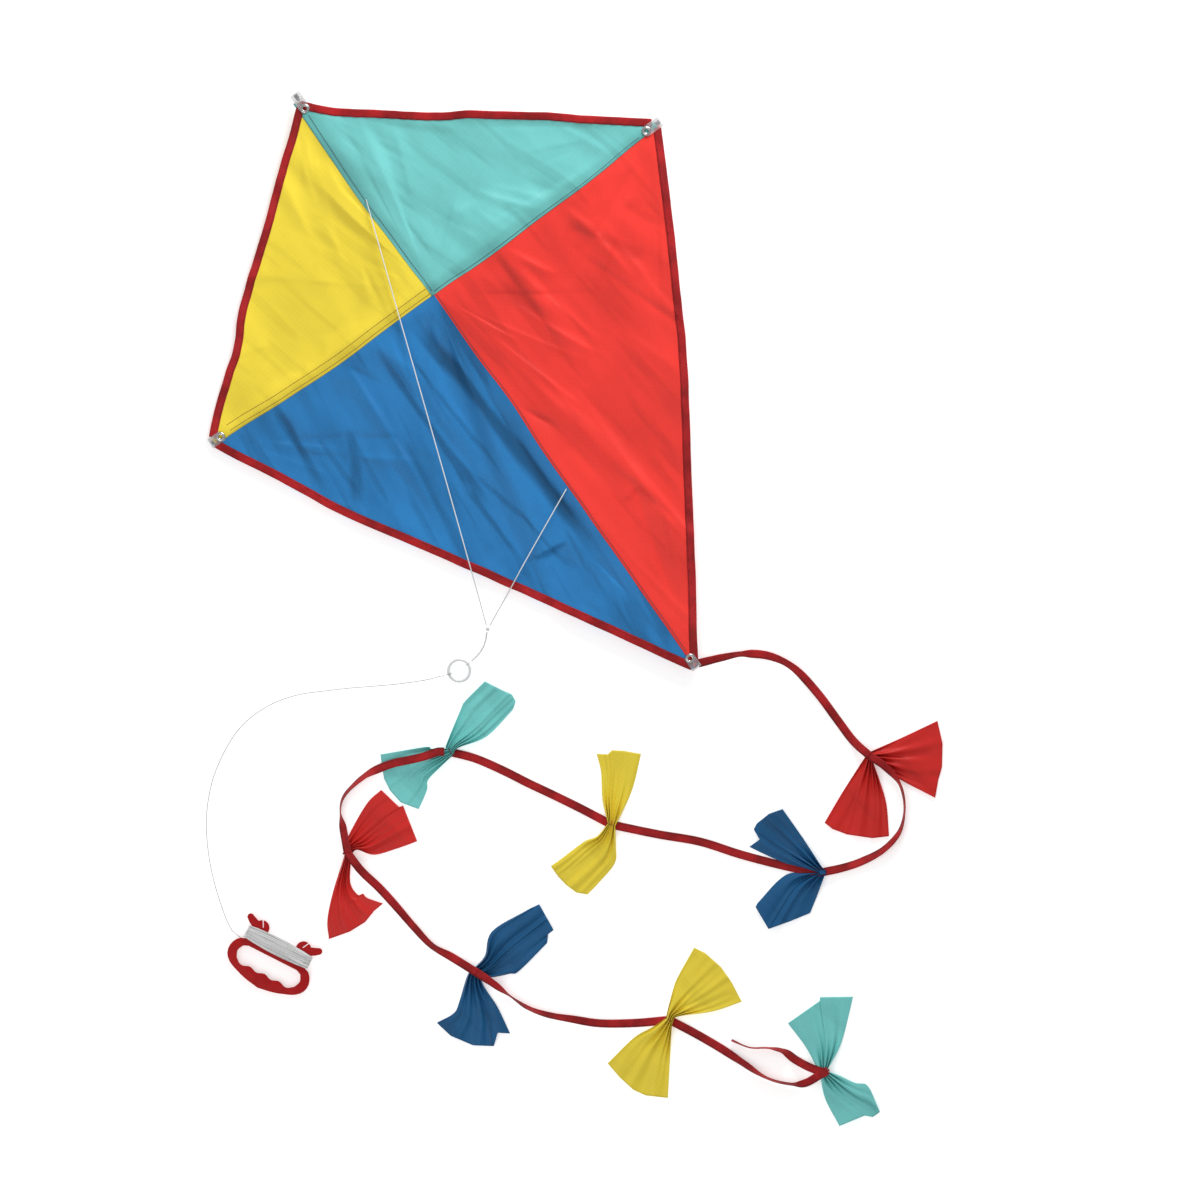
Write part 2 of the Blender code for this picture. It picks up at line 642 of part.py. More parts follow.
def make_winder():
    half = winder_half()
    mirrored = [(-x, y) for x, y in reversed(half[1:])]
    outline = half + [(0, -46.6)] + mirrored
    winder = flat_shape("winder", [outline, finger_hole()], WINDER_LOW, WINDER_LOW + WINDER_THICK)
    for side in (-1, 1):
        slit = box((1.0, 9.0, 12.0), (side * 24.6, 14.6, WINDER_LOW + 2.5))
        slit.rotation_euler.z = math.radians(-side * 28)
        slit.matrix_world = winder_place() @ slit.matrix_basis
        cut(winder, cutter_of(slit, "line_slit"))
    winder.matrix_world = winder_place() @ winder.matrix_world
    keep(winder, "winder", RED_PLASTIC)


def make_line_winding():
    """The wound line: a band round the bar, lengthwise, with rounded ends."""
    middle = (WINDING_LOW + WINDING_HIGH) / 2
    rise = (WINDING_HIGH - WINDING_LOW) / 2
    inner_half = WINDER_THICK / 2 + 0.4
    corner = 3.2
    outer = (arc((WINDING_OUTER - corner, middle + rise - corner), corner, 0, 90, 4)
             + arc((-WINDING_OUTER + corner, middle + rise - corner), corner, 90, 180, 4)
             + arc((-WINDING_OUTER + corner, middle - rise + corner), corner, 180, 270, 4)
             + arc((WINDING_OUTER - corner, middle - rise + corner), corner, 270, 360, 4))
    reach = NECK_HALF + 1.6
    inner = [(reach, middle + inner_half), (-reach, middle + inner_half),
             (-reach, middle - inner_half), (reach, middle - inner_half)]
    band = flat_shape("line_winding", [outer, inner], -WINDING_WIDTH / 2, WINDING_WIDTH / 2)
    stand = Matrix(((1, 0, 0, 0), (0, 0, 1, 0), (0, 1, 0, 0), (0, 0, 0, 1)))
    band.matrix_world = winder_place() @ stand @ band.matrix_world
    bake_place(band)
    shell = bmesh.new()
    shell.from_mesh(band.data)
    bmesh.ops.recalc_face_normals(shell, faces=shell.faces)
    shell.to_mesh(band.data)
    shell.free()
    keep(band, "line_winding", PALE_LINE)


# ---------------------------------------------------------------- tail

def ribbon_heights(line, lifted_first, lifted_last, top_first, top_last):
    """Heights along a strip: lifted at its ends, and down on the surface between them."""
    travelled = [0.0]
    for one, two in zip(line, line[1:]):
        travelled.append(travelled[-1] + (two - one).length)
    total = travelled[-1]
    heights = []
    for gone in travelled:
        height = RIBBON_Z
        for away, held, top in ((gone, lifted_first, top_first), (total - gone, lifted_last, top_last)):
            share = min(1.0, max(0.0, (held + LIFT_RAMP - away) / LIFT_RAMP))
            share = share * share * (3 - 2 * share)
            height = max(height, RIBBON_Z + (top - RIBBON_Z) * share)
        heights.append(height)
    return heights


def trim(line, first, last):
    """Leave out the points nearer to the two ends than the gaps given."""
    start = line[0]
    end = line[-1]
    inside = [p for p in line if (p - start).length > first and (p - end).length > last]
    head = start + (inside[0] - start).normalized() * first
    tail = end + (inside[-1] - end).normalized() * last
    return ([head] if first else [start]) + inside + ([tail] if last else [end])


def make_ribbon(number, points, lifted_first, lifted_last):
    name = "tail_ribbon_" + str(number)
    first_gap = 0.0 if number == 1 else KNOT_GAP
    last_gap = 0.0 if number == len(TAIL_STRIPS) else KNOT_GAP
    line = trim(smooth_through([(x, y, 0) for x, y in points], 9.0), first_gap, last_gap)
    top_first = TAB_Z if number == 1 else RIBBON_LIFTED
    if number == len(TAIL_STRIPS):
        top_first = END_LIFT
    top_last = RIBBON_Z if number == len(TAIL_STRIPS) else RIBBON_LIFTED
    heights = ribbon_heights(line, lifted_first, lifted_last, top_first, top_last)
    thing = curve_object(name, "3D")
    spline = add_spline(thing.data, [(p.x, p.y, z) for p, z in zip(line, heights)], False)
    thing.data.twist_mode = "Z_UP"
    for point in spline.points:
        point.tilt = math.radians(90)
    thing.data.extrude = (RIBBON_WIDTH - RIBBON_THICKNESS) * MM / 2
    thing.data.bevel_depth = RIBBON_THICKNESS * MM / 2
    thing.data.bevel_resolution = 0
    thing.data.use_fill_caps = True
    keep(thing, name, TAPE_RED)


def make_bow(name, bow):
    knot = Vector(bow["knot"])
    outline = []
    first, second = ([Vector(p) for p in wing] for wing in bow["wings"])
    for wing, after in ((first, second), (second, first)):
        outline += wing
        leaving = wing[-1] - knot
        turn = (after[0] - knot).angle_signed(leaving) % math.tau
        outline.append(knot + Matrix.Rotation(turn / 2, 2) @ leaving.normalized() * WAIST)
    thing = flat_shape(name, [outline], BOW_LOW, BOW_LOW + BOW_THICKNESS)
    top = RIBBON_LIFTED - 1.0 if name == "bow_8" else KNOT_TOP
    hub = cutter_of(cylinder(KNOT_RADIUS, BOW_LOW, top, knot, 16), name + "_knot")
    cut(thing, hub, "UNION")
    keep(thing, name, CLOTHS[bow["colour"]])


def make_tail():
    for name, bow in BOWS.items():
        make_bow(name, bow)
    for number, strip in enumerate(TAIL_STRIPS, 1):
        make_ribbon(number, *strip)
    tab = box((11.0, RIBBON_WIDTH, 0.8), (-0.8, -463.2, TAB_Z))
    keep(tab, "tail_tab", TAPE_RED)
    knot_at = BOWS["bow_8"]["knot"]
    end_knot = cylinder(KNOT_RADIUS, RIBBON_LIFTED - 0.7, END_LIFT + 1.6, knot_at, 16)
    keep(end_knot, "tail_end_knot", TAPE_RED)


def main():
    eyelet_cutters = make_eyelet_cutters()
    make_sail(eyelet_cutters)
    make_rods()
    make_centre_fitting()
    for corner in POCKETS:
        make_eyelet(corner, make_corner_pocket(corner, eyelet_cutters))
    make_bridle()
    make_winder()
    make_line_winding()
    make_tail()


main()
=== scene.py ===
# %% [markdown]
# A diamond kite, laid out flat with its bridle, line, winder and tail
# --------------------------------------------------------------------
# The frame is already there: rods, pockets, cloth plates and cords at their real places.
# This lesson gives every piece the surface it really has. Cloth is modelled as thin
# wrinkled sheets, cords as lines of a known length, and hard parts as softened copies.

# %% Load the frame
import math
import random

import bmesh
import bpy
from mathutils import Matrix, Vector, noise


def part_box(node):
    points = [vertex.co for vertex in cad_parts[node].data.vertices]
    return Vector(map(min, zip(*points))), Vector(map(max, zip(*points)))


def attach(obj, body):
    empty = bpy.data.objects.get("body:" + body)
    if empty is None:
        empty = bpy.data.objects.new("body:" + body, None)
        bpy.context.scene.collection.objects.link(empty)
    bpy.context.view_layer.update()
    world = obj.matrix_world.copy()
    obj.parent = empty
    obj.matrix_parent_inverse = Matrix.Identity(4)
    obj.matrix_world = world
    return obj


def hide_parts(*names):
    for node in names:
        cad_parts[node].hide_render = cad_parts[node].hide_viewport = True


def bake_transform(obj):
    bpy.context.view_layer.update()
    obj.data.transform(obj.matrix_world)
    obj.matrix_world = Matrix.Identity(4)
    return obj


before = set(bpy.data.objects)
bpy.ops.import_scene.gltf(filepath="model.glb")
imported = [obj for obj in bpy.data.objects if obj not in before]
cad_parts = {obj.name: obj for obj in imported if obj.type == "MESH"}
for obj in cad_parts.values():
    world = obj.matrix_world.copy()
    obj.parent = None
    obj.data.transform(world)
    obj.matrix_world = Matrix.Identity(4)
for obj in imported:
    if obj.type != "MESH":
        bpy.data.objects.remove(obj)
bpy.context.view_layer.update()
MM = 0.001
SCENE = bpy.context.scene

# %% [markdown]
# The camera and the light
# ------------------------
# A kite is drawn best from straight above, with no perspective, turned so that the nose
# points up and to the left. An orthographic camera does that. The light is one large soft
# panel low over the nose, so that wrinkles in thin cloth throw a little shade, and a pale
# surround that fills the rest.

# %% Camera, light and floor
VIEW_TURN = math.radians(-35.03)
VIEW_CENTRE = (-0.0411, -0.3555)
VIEW_WIDTH = 1.224


def make_camera():
    data = bpy.data.cameras.new("plan_camera")
    data.type = "ORTHO"
    data.ortho_scale = VIEW_WIDTH
    camera = bpy.data.objects.new("plan_camera", data)
    SCENE.collection.objects.link(camera)
    camera.location = (*VIEW_CENTRE, 1.6)
    camera.rotation_euler = (0, 0, VIEW_TURN)
    SCENE.camera = camera
    return camera


def make_light(name, place, target, size, power):
    data = bpy.data.lights.new(name, "AREA")
    data.size = size
    data.energy = power
    light = bpy.data.objects.new(name, data)
    SCENE.collection.objects.link(light)
    light.location = place
    light.rotation_euler = (Vector(target) - Vector(place)).to_track_quat("-Z", "Y").to_euler()
    return light


def make_surround():
    world = bpy.data.worlds.new("studio")
    world.use_nodes = True
    glow = world.node_tree.nodes["Background"]
    glow.inputs["Color"].default_value = (1.0, 1.0, 1.0, 1.0)
    glow.inputs["Strength"].default_value = 0.44
    SCENE.world = world
    SCENE.view_settings.view_transform = "Standard"


make_camera()
make_light("soft_panel", (1.05, 0.62, 0.60), (-0.05, -0.25, 0.0), 0.6, 17.6)
make_light("far_fill", (-0.9, -0.6, 1.3), (-0.1, -0.5, 0.0), 1.2, 7.0)
make_surround()
print("camera looks straight down on", VIEW_WIDTH, "m")

# %% [markdown]
# Shader maths
# ------------
# A finish is a small sum of patterns. Wrapping a socket in a class with the usual
# operators lets that sum be written as one line of Python instead of a page of nodes.


# %% A socket that does maths
class Wire:
    """An output socket that can be added, multiplied and so on."""

    def __init__(self, finish, socket):
        self.finish = finish
        self.socket = socket

    def maths(self, operation, *others):
        values = {index: value for index, value in enumerate(others)}
        return self.finish.node("ShaderNodeMath", values, operation=operation)

    def __add__(self, other):
        return self.maths("ADD", self, other)

    def __sub__(self, other):
        return self.maths("SUBTRACT", self, other)

    def __rsub__(self, other):
        return self.maths("SUBTRACT", other, self)

    def __mul__(self, other):
        return self.maths("MULTIPLY", self, other)

    __radd__ = __add__
    __rmul__ = __mul__

    def fraction(self):
        return self.maths("FRACT", self)

    def size(self):
        return self.maths("ABSOLUTE", self)

    def wave(self):
        return self.maths("SINE", self)

    def step(self, low, high):
        """0 below low, 1 above high, and smooth between them."""
        values = {0: self, 1: low, 2: high, 3: 0.0, 4: 1.0}
        return self.finish.node("ShaderNodeMapRange", values, interpolation_type="SMOOTHSTEP")


class Finish:
    """A material on one Principled shader, with one method for every other node."""

    def __init__(self, name, **constants):
        self.material = bpy.data.materials.new(name)
        self.material.use_nodes = True
        self.tree = self.material.node_tree
        self.shader = self.tree.nodes["Principled BSDF"]
        for key, value in constants.items():
            self.shader.inputs[key.replace("_", " ")].default_value = value

    def node(self, kind, values=None, output=0, **settings):
        made = self.tree.nodes.new(kind)
        for key, value in settings.items():
            setattr(made, key, value)
        for key, value in (values or {}).items():
            if isinstance(value, Wire):
                self.tree.links.new(value.socket, made.inputs[key])
            else:
                made.inputs[key].default_value = value
        return Wire(self, made.outputs[output])

    def place(self):
        """X, Y and Z of the surface, in metres."""
        spot = self.node("ShaderNodeTexCoord", output="Object")
        return [self.node("ShaderNodeSeparateXYZ", {0: spot}, output=axis) for axis in "XYZ"]

    def along(self):
        """The piece's own UV map: across it, and along it in metres."""
        spot = self.node("ShaderNodeUVMap", uv_map="UVMap")
        return [self.node("ShaderNodeSeparateXYZ", {0: spot}, output=axis) for axis in "XY"]

    def grain(self, scale, detail=3.0):
        spot = self.node("ShaderNodeTexCoord", output="Object")
        values = {"Vector": spot, "Scale": scale, "Detail": detail}
        return self.node("ShaderNodeTexNoise", values)

    def stretched(self, x, y, detail):
        """Noise read at a place of its own, so that it can be drawn out one way."""
        spot = self.node("ShaderNodeCombineXYZ", {0: x, 1: y})
        return self.node("ShaderNodeTexNoise", {"Vector": spot, "Scale": 1.0, "Detail": detail})

    def mix(self, factor, first, second):
        values = {0: factor, 6: first, 7: second}
        return self.node("ShaderNodeMix", values, output=2, data_type="RGBA")

    def feed(self, socket, value):
        self.tree.links.new(value.socket, self.shader.inputs[socket])

    def bump(self, height, depth, strength):
        values = {"Height": height, "Distance": depth, "Strength": strength}
        self.feed("Normal", self.node("ShaderNodeBump", values))


def shade(colour, amount):
    """A colour made lighter or darker by a factor, with an alpha of 1."""
    return (*[min(1.0, channel * amount) for channel in colour], 1.0)


# %% [markdown]
# Coated ripstop nylon
# --------------------
# The sail and the bows are the same light nylon. It has a square net of thicker threads
# every few millimetres, a faint weave between them, and a coating that gives a soft
# gloss. Where the cloth is doubled at a seam, less light comes through and it looks
# darker, so each panel also darkens near the seams that it is doubled at. The shade of
# its creases and folds is painted into its colour as long dark streaks, soft blotches and bands.

# %% Nylon
RED = (0.860, 0.046, 0.035)
TEAL = (0.165, 0.545, 0.525)
YELLOW = (0.900, 0.705, 0.056)
BLUE = (0.020, 0.170, 0.420)
DARK_RED = (0.300, 0.008, 0.010)
RIP_PITCH = 0.0042
CROSS_LEAN = 0.02
SEAM_BAND = 0.0125


def nylon(name, colour, turn, doubled="", fold_lean=0.15, depth=1.0, darkest=0.66,
          folds=()):
    """Ripstop nylon.

    doubled names the seams that the panel is folded at: x or y. depth is how strong the
    painted shade of its creases is, and darkest how dark they get. folds are bands of
    painted shade along long folds, drawn one by one.
    """
    cloth = Finish(name, Roughness=0.42, Sheen_Weight=0.02, Sheen_Roughness=0.4)
    cloth.shader.inputs["Specular IOR Level"].default_value = 0.20
    x, y, _ = cloth.place()
    u = x * math.cos(turn) + y * math.sin(turn)
    v = y * math.cos(turn) - x * math.sin(turn)
    rips = []
    for line in (u, v):
        beat = ((line * (1 / RIP_PITCH)).fraction() - 0.5).size()
        rips.append(beat.step(0.42, 0.49))
    net = rips[0].maths("MAXIMUM", rips[0], rips[1])
    weave = (u * 9000.0).wave() * (v * 9000.0).wave()
    cloud = cloth.grain(11.0, 4.0)
    mottle = cloth.grain(160.0, 2.0)
    leaning = x + y * fold_lean
    # drawn and sharp are long streak noises. Scaled by depth, they and the cloud and mottle paint
    # the shade of creases into the colour, mixed with random tone.
    drawn = cloth.stretched(leaning * 22.0, y * 5.0, 3.0)
    sharp = cloth.stretched(leaning * 48.0, y * 6.5, 2.0)
    darker = net * 0.10 + (cloud.step(0.35, 0.75) * 0.22 + mottle.step(0.3, 0.8) * 0.06) * depth
    darker = darker + drawn.step(0.40, 0.66) * (0.30 * depth)
    darker = darker + sharp.step(0.54, 0.64) * (0.26 * depth)
    for seam in doubled:
        away = x.size() if seam == "x" else (y - x * CROSS_LEAN).size()
        darker = darker + (1.0 - away.step(0.002, SEAM_BAND)) * 0.45
    # Each fold is a band of painted shade along one long fold of the cloth.
    for start, end, width, strength in folds:
        way = Vector(end) - Vector(start)
        ahead = way.normalized()
        across, along = x - start[0] * MM, y - start[1] * MM
        gone = (across * ahead.x + along * ahead.y) * (1000 / way.length)
        away = (across * ahead.y - along * ahead.x + (drawn - 0.5) * 0.030).size()
        fold_shade_band = 1.0 - away.step(0.2 * width * MM, width * MM)
        darker = darker + fold_shade_band * gone.step(0.0, 0.2) * (1.0 - gone.step(0.75, 1.0)) * strength
    colour_now = cloth.mix(darker, shade(colour, 1.10), shade(colour, darkest))
    cloth.feed("Base Color", colour_now)
    cloth.feed("Roughness", 0.40 + net * 0.12 + cloud * 0.10)
    cloth.bump(net * 0.5 + weave * 0.25 + mottle * 0.5, 0.00012, 0.5)
    return cloth.material


BLUE_FOLD_SHADE = (
    # painted shade along a fold: start, end, half width in mm, strength
    ((-34, 0), (-13, -330), 9.0, 0.75), ((-78, -4), (-79, -225), 7.0, 0.60),
    ((-85, -180), (-85, -275), 5.0, 0.45), ((-75, -165), (-36, -330), 4.0, 0.35),
    ((-196, 0), (-209, -110), 6.0, 0.32), ((-146, -62), (-190, -140), 9.0, 0.40),
    ((-181, -50), (-180, -128), 4.0, 0.28), ((-56, -30), (-50, -210), 3.0, 0.30),
)
RED_FOLD_SHADE = (
    # painted shade along a soft fold: start, end, half width in mm, strength
    ((150, -18), (200, -104), 9.0, 0.35), ((40, -10), (92, -130), 10.0, 0.22),
    ((212, -34), (240, -84), 6.0, 0.30), ((20, -110), (54, -290), 10.0, 0.20),
    ((110, -60), (120, -230), 8.0, 0.15),
)
RIP_TURN = {"red": 1.01, "teal": 0.05, "yellow": 0.12, "blue": -0.98}
SAIL_FINISH = {
    "red": nylon("sail_nylon_red", RED, RIP_TURN["red"], "", 0.10, 0.9, 0.66, RED_FOLD_SHADE),
    "teal": nylon("sail_nylon_teal", TEAL, RIP_TURN["teal"], "xy", 0.3, 1.1),
    "yellow": nylon("sail_nylon_yellow", YELLOW, RIP_TURN["yellow"], "y", 0.25, 0.7),
    "blue": nylon("sail_nylon_blue", shade(BLUE, 1.22)[:3], RIP_TURN["blue"], "", -0.12, 1.1,
                  0.42, BLUE_FOLD_SHADE),
}
# The bows' streaks are the same painted crease shade, with a depth for each colour.
BOW_FINISH = {
    "red": nylon("bow_nylon_red", (0.600, 0.022, 0.018), 0.5, depth=0.8),
    "teal": nylon("bow_nylon_teal", shade(TEAL, 1.06)[:3], 0.9, depth=0.7),
    "yellow": nylon("bow_nylon_yellow", shade(YELLOW, 0.84)[:3], 0.2, depth=0.35),
    "blue": nylon("bow_nylon_blue", shade(BLUE, 0.55)[:3], 1.3, depth=0.8, darkest=0.48),
}
print("nylon:", ", ".join(SAIL_FINISH))

# %% [markdown]
# Ribbon, cord, plastic, vinyl and metal
# --------------------------------------
# Ribbon has fine ribs across it and a tight woven edge, so its pattern follows the
# piece's own UV map. Cord shows its twisted strands the same way. Moulded plastic is
# smooth with a faint unevenness, and vinyl is clear with a grey cast.


# %% Ribbon and cord
def ribbon_finish(name, colour):
    tape = Finish(name, Roughness=0.62, Sheen_Weight=0.04)
    tape.shader.inputs["Specular IOR Level"].default_value = 0.22
    across, along = tape.along()
    ribs = (along * (math.tau / 0.0009)).wave()
    edge = (across - 0.5).size().step(0.36, 0.47)
    cloud = tape.grain(45.0, 4.0)
    speck = tape.grain(420.0, 2.0)
    darker = edge * 0.40 + ribs * 0.05 + cloud.step(0.35, 0.65) * 0.55 + speck * 0.25
    tape.feed("Base Color", tape.mix(darker, shade(colour, 1.65), shade(colour, 0.55)))
    tape.feed("Roughness", 0.55 + cloud * 0.2)
    tape.bump(ribs * 0.5 + edge + speck * 0.6, 0.00018, 0.7)
    return tape.material


def cord_finish(name, colour, pitch, pale_near=None, lanes=None):
    """Twisted cord. It is paler near one place, or where its UV map says it is wound, and
    elsewhere painted darker: painted shade that keeps it from fading into the bright floor.
    """
    cord = Finish(name, Roughness=0.75, Sheen_Weight=0.05)
    x, y, _ = cord.place()
    strands = ((x * 1.3 + y) * (math.tau / pitch)).wave()
    fuzz = cord.grain(900.0, 2.0)
    darkening = strands * 0.25 + fuzz * 0.3
    if lanes is not None:
        # On the free line, where the UV map says 0, the line is painted darker: painted shade
        # against the bright floor.
        darkening = darkening + (1.0 - cord.along()[0]) * 0.62
        u = x * math.cos(lanes) + y * math.sin(lanes)
        v = y * math.cos(lanes) - x * math.sin(lanes)
        # Dark lanes across the winding are painted shade between the wound turns.
        darkening = darkening + cord.stretched(u * 25.0, v * 700.0, 3.0).step(0.48, 0.66) * 0.38
    if pale_near:
        # Away from pale_near the cord is painted darker: painted shade against the bright floor.
        away = (x - pale_near[0]).size() + (y - pale_near[1]).size()
        darkening = darkening + away.step(0.225, 0.25) * 0.22
    cord.feed("Base Color", cord.mix(darkening, shade(colour, 1.1), shade(colour, 0.32)))
    cord.bump(strands + fuzz, 0.0001, 0.6)
    return cord.material


RIBBON = ribbon_finish("dark_red_ribbon", DARK_RED)
BRIDLE_CORD = cord_finish("white_bridle_cord", (0.80, 0.82, 0.82), 0.0016, (-0.02, -0.12))
WINDER_TURN = math.radians(-62.0)
LINE = cord_finish("pale_flying_line", (0.92, 0.97, 0.92), 0.0012, lanes=WINDER_TURN)
STITCH_DARK = cord_finish("dark_thread", (0.05, 0.06, 0.08), 0.0006)
STITCH_BROWN = cord_finish("brown_thread", (0.30, 0.12, 0.03), 0.0006)
STITCH_RED = cord_finish("dark_red_thread", (0.16, 0.006, 0.010), 0.0006)


# %% Hard finishes
def moulded(name, colour, roughness, **constants):
    plastic = Finish(name, Specular_IOR_Level=0.15, **constants)
    cloud = plastic.grain(90.0, 5.0)
    scuffs = plastic.grain(700.0, 2.0)
    darkening = cloud.step(0.35, 0.75) * 0.5 + scuffs * 0.2
    plastic.feed("Base Color", plastic.mix(darkening, shade(colour, 1.12), shade(colour, 0.82)))
    plastic.feed("Roughness", roughness + darkening * 0.18)
    plastic.bump(cloud + scuffs * 0.3, 0.00008, 0.5)
    return plastic.material


RED_PLASTIC = moulded("red_winder_plastic", (0.37, 0.004, 0.005), 0.40)
BLACK_PLASTIC = moulded("black_fitting_plastic", (0.025, 0.025, 0.027), 0.42)
WHITE_PLASTIC = moulded("white_ring_plastic", (0.70, 0.71, 0.72), 0.25, Coat_Weight=0.2)
GLASS_FIBRE = moulded("glass_fibre_rod", (0.62, 0.61, 0.55), 0.35)


def clear_vinyl():
    vinyl = Finish("clear_vinyl", Roughness=0.14, Coat_Weight=0.3)
    cloud = vinyl.grain(120.0, 4.0)
    vinyl.feed("Base Color", vinyl.mix(cloud, (0.42, 0.42, 0.44, 1.0), (0.66, 0.65, 0.67, 1.0)))
    vinyl.feed("Alpha", 0.20 + cloud.step(0.4, 0.75) * 0.20)
    vinyl.bump(cloud, 0.0003, 0.5)
    return vinyl.material


def nickel_plate():
    plate = Finish("nickel_plate", Metallic=1.0)
    cloud = plate.grain(500.0, 4.0)
    plate.feed("Base Color", plate.mix(cloud, (0.66, 0.65, 0.64, 1.0), (0.42, 0.41, 0.40, 1.0)))
    plate.feed("Roughness", 0.16 + cloud * 0.22)
    plate.bump(cloud, 0.00004, 0.4)
    return plate.material


VINYL = clear_vinyl()
NICKEL = nickel_plate()

# %% [markdown]
# The floor is a very large pale card. It isn't part of the kite.


# %% Floor
def make_floor():
    shell = bmesh.new()
    bmesh.ops.create_grid(shell, x_segments=1, y_segments=1, size=6.0)
    bmesh.ops.translate(shell, verts=shell.verts, vec=(0, 0, -0.0006))
    mesh = bpy.data.meshes.new("floor_card")
    shell.to_mesh(mesh)
    shell.free()
    card = bpy.data.objects.new("floor_card", mesh)
    SCENE.collection.objects.link(card)
    paper = Finish("floor_paper", Base_Color=(0.94, 0.94, 0.94, 1.0), Roughness=0.9,
                   Emission_Color=(1.0, 1.0, 1.0, 1.0), Emission_Strength=0.39)
    mesh.materials.append(paper.material)


make_floor()

# %% [markdown]
# Three ways of making a piece
# ----------------------------
# 1. A sheet or a swept strip starts as a square grid, and each of its points is put where
#    the real surface is. 2. A cord is a curve with a round bevel. 3. A hard part is a
#    copy of its frame solid, with its loose triangles merged and its edges rounded.


# %% Helpers that make meshes
def new_piece(name, shell, material, body):
    """Turn a bmesh into a finished piece that rides on a body."""
    mesh = bpy.data.meshes.new(name)
    shell.to_mesh(mesh)
    shell.free()
    piece = bpy.data.objects.new(name, mesh)
    SCENE.collection.objects.link(piece)
    mesh.materials.append(material)
    mesh.shade_smooth()
    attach(piece, body)
    return piece


def mapped_grid(across, along, place, uv_scale=(1.0, 1.0), loop=False, caps=False):
    """A grid whose point (u, v) is moved to place(u, v). A loop joins u = 0 to u = 1."""
    shell = bmesh.new()
    bmesh.ops.create_grid(shell, x_segments=across, y_segments=along, size=0.5)
    layer = shell.loops.layers.uv.new("UVMap")
    for face in shell.faces:
        for corner in face.loops:
            u, v = corner.vert.co.x + 0.5, corner.vert.co.y + 0.5
            corner[layer].uv = (u * uv_scale[0], v * uv_scale[1])
    for vert in shell.verts:
        vert.co = place(vert.co.x + 0.5, vert.co.y + 0.5)
    if loop:
        bmesh.ops.remove_doubles(shell, verts=shell.verts, dist=0.000002)
    if caps:
        rims = [edge for edge in shell.edges if edge.is_boundary]
        bmesh.ops.holes_fill(shell, edges=rims)
    bmesh.ops.recalc_face_normals(shell, faces=shell.faces)
    return shell


def point_on(line, share):
    """The point at a share of a line's length, 0 to 1."""
    lengths = [(two - one).length for one, two in zip(line, line[1:])]
    left = max(0.0, min(1.0, share)) * sum(lengths)
    for one, two, length in zip(line, line[1:], lengths):
        if left <= length:
            return one.lerp(two, left / length) if length else one.copy()
        left -= length
    return line[-1].copy()


def smooth_through(points, steps=12):
    """A smooth curve through points, with a number of steps between each two."""
    ends = [Vector(p).to_3d() for p in points]
    ends = [2 * ends[0] - ends[1], *ends, 2 * ends[-1] - ends[-2]]
    line = []
    for a, b, c, d in zip(ends, ends[1:], ends[2:], ends[3:]):
        for step in range(steps):
            t = step / steps
            line.append(0.5 * (2 * b + (c - a) * t + (2 * a - 5 * b + 4 * c - d) * t * t
                               + (3 * b - a - 3 * c + d) * t ** 3))
    line.append(ends[-2])
    return line


def length_of(line):
    return sum((two - one).length for one, two in zip(line, line[1:]))


def curve_piece(name, line, diameter, material, body, sides=3):
    """A cord as a curve object with a round section. The line is in metres."""
    data = bpy.data.curves.new(name, "CURVE")
    data.dimensions = "3D"
    spline = data.splines.new("POLY")
    spline.points.add(len(line) - 1)
    for point, spot in zip(spline.points, line):
        point.co = (*spot, 1.0)
    data.bevel_depth = diameter / 2
    data.bevel_resolution = sides
    data.use_fill_caps = True
    piece = bpy.data.objects.new(name, data)
    SCENE.collection.objects.link(piece)
    data.materials.append(material)
    if body:
        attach(piece, body)
    return piece


def softened(node, body, material, width, segments=3):
    """A copy of a frame solid with merged triangles and rounded edges, in its place."""
    shell = bmesh.new()
    shell.from_mesh(frame_object(node).data)
    bmesh.ops.remove_doubles(shell, verts=shell.verts, dist=0.000005)
    bmesh.ops.dissolve_limit(shell, angle_limit=math.radians(2), verts=shell.verts,
                             edges=shell.edges)
    sharp = [edge for edge in shell.edges
             if len(edge.link_faces) == 2 and edge.calc_face_angle() > math.radians(40)]
    bmesh.ops.bevel(shell, geom=sharp, affect="EDGES", offset=width, segments=segments,
                    profile=0.5, material=-1, clamp_overlap=True)
    piece = new_piece(node + "_rounded", shell, material, body)
    piece.data.set_sharp_from_angle(angle=math.radians(50))
    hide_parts(node)
    return piece


def frame_object(node):
    return bpy.data.objects[node]


def refinish(material, *nodes):
    """Give frame solids that are shown as they are a finish of their own."""
    for node in nodes:
        frame_object(node).data.materials.clear()
        frame_object(node).data.materials.append(material)


def face_up(shell):
    """Turn an open sheet's faces the same way, upwards."""
    bmesh.ops.recalc_face_normals(shell, faces=shell.faces)
    if sum(face.normal.z for face in shell.faces) < 0:
        bmesh.ops.reverse_faces(shell, faces=shell.faces)


def thicken(piece, thickness, offset=0.0):
    solid = piece.modifiers.new("thickness", "SOLIDIFY")
    solid.thickness = thickness
    solid.offset = offset


# %% [markdown]
# The sail's shape
# ----------------
# The cloth is held along the two rods and bound along its four edges, and nothing pulls
# it between them. So it sags a little in the middle of each panel, and short creases run
# out of the corners, where the pull is greatest. The height of the cloth is written as
# one function of the place, so that the seams, tape and stitches can follow it.

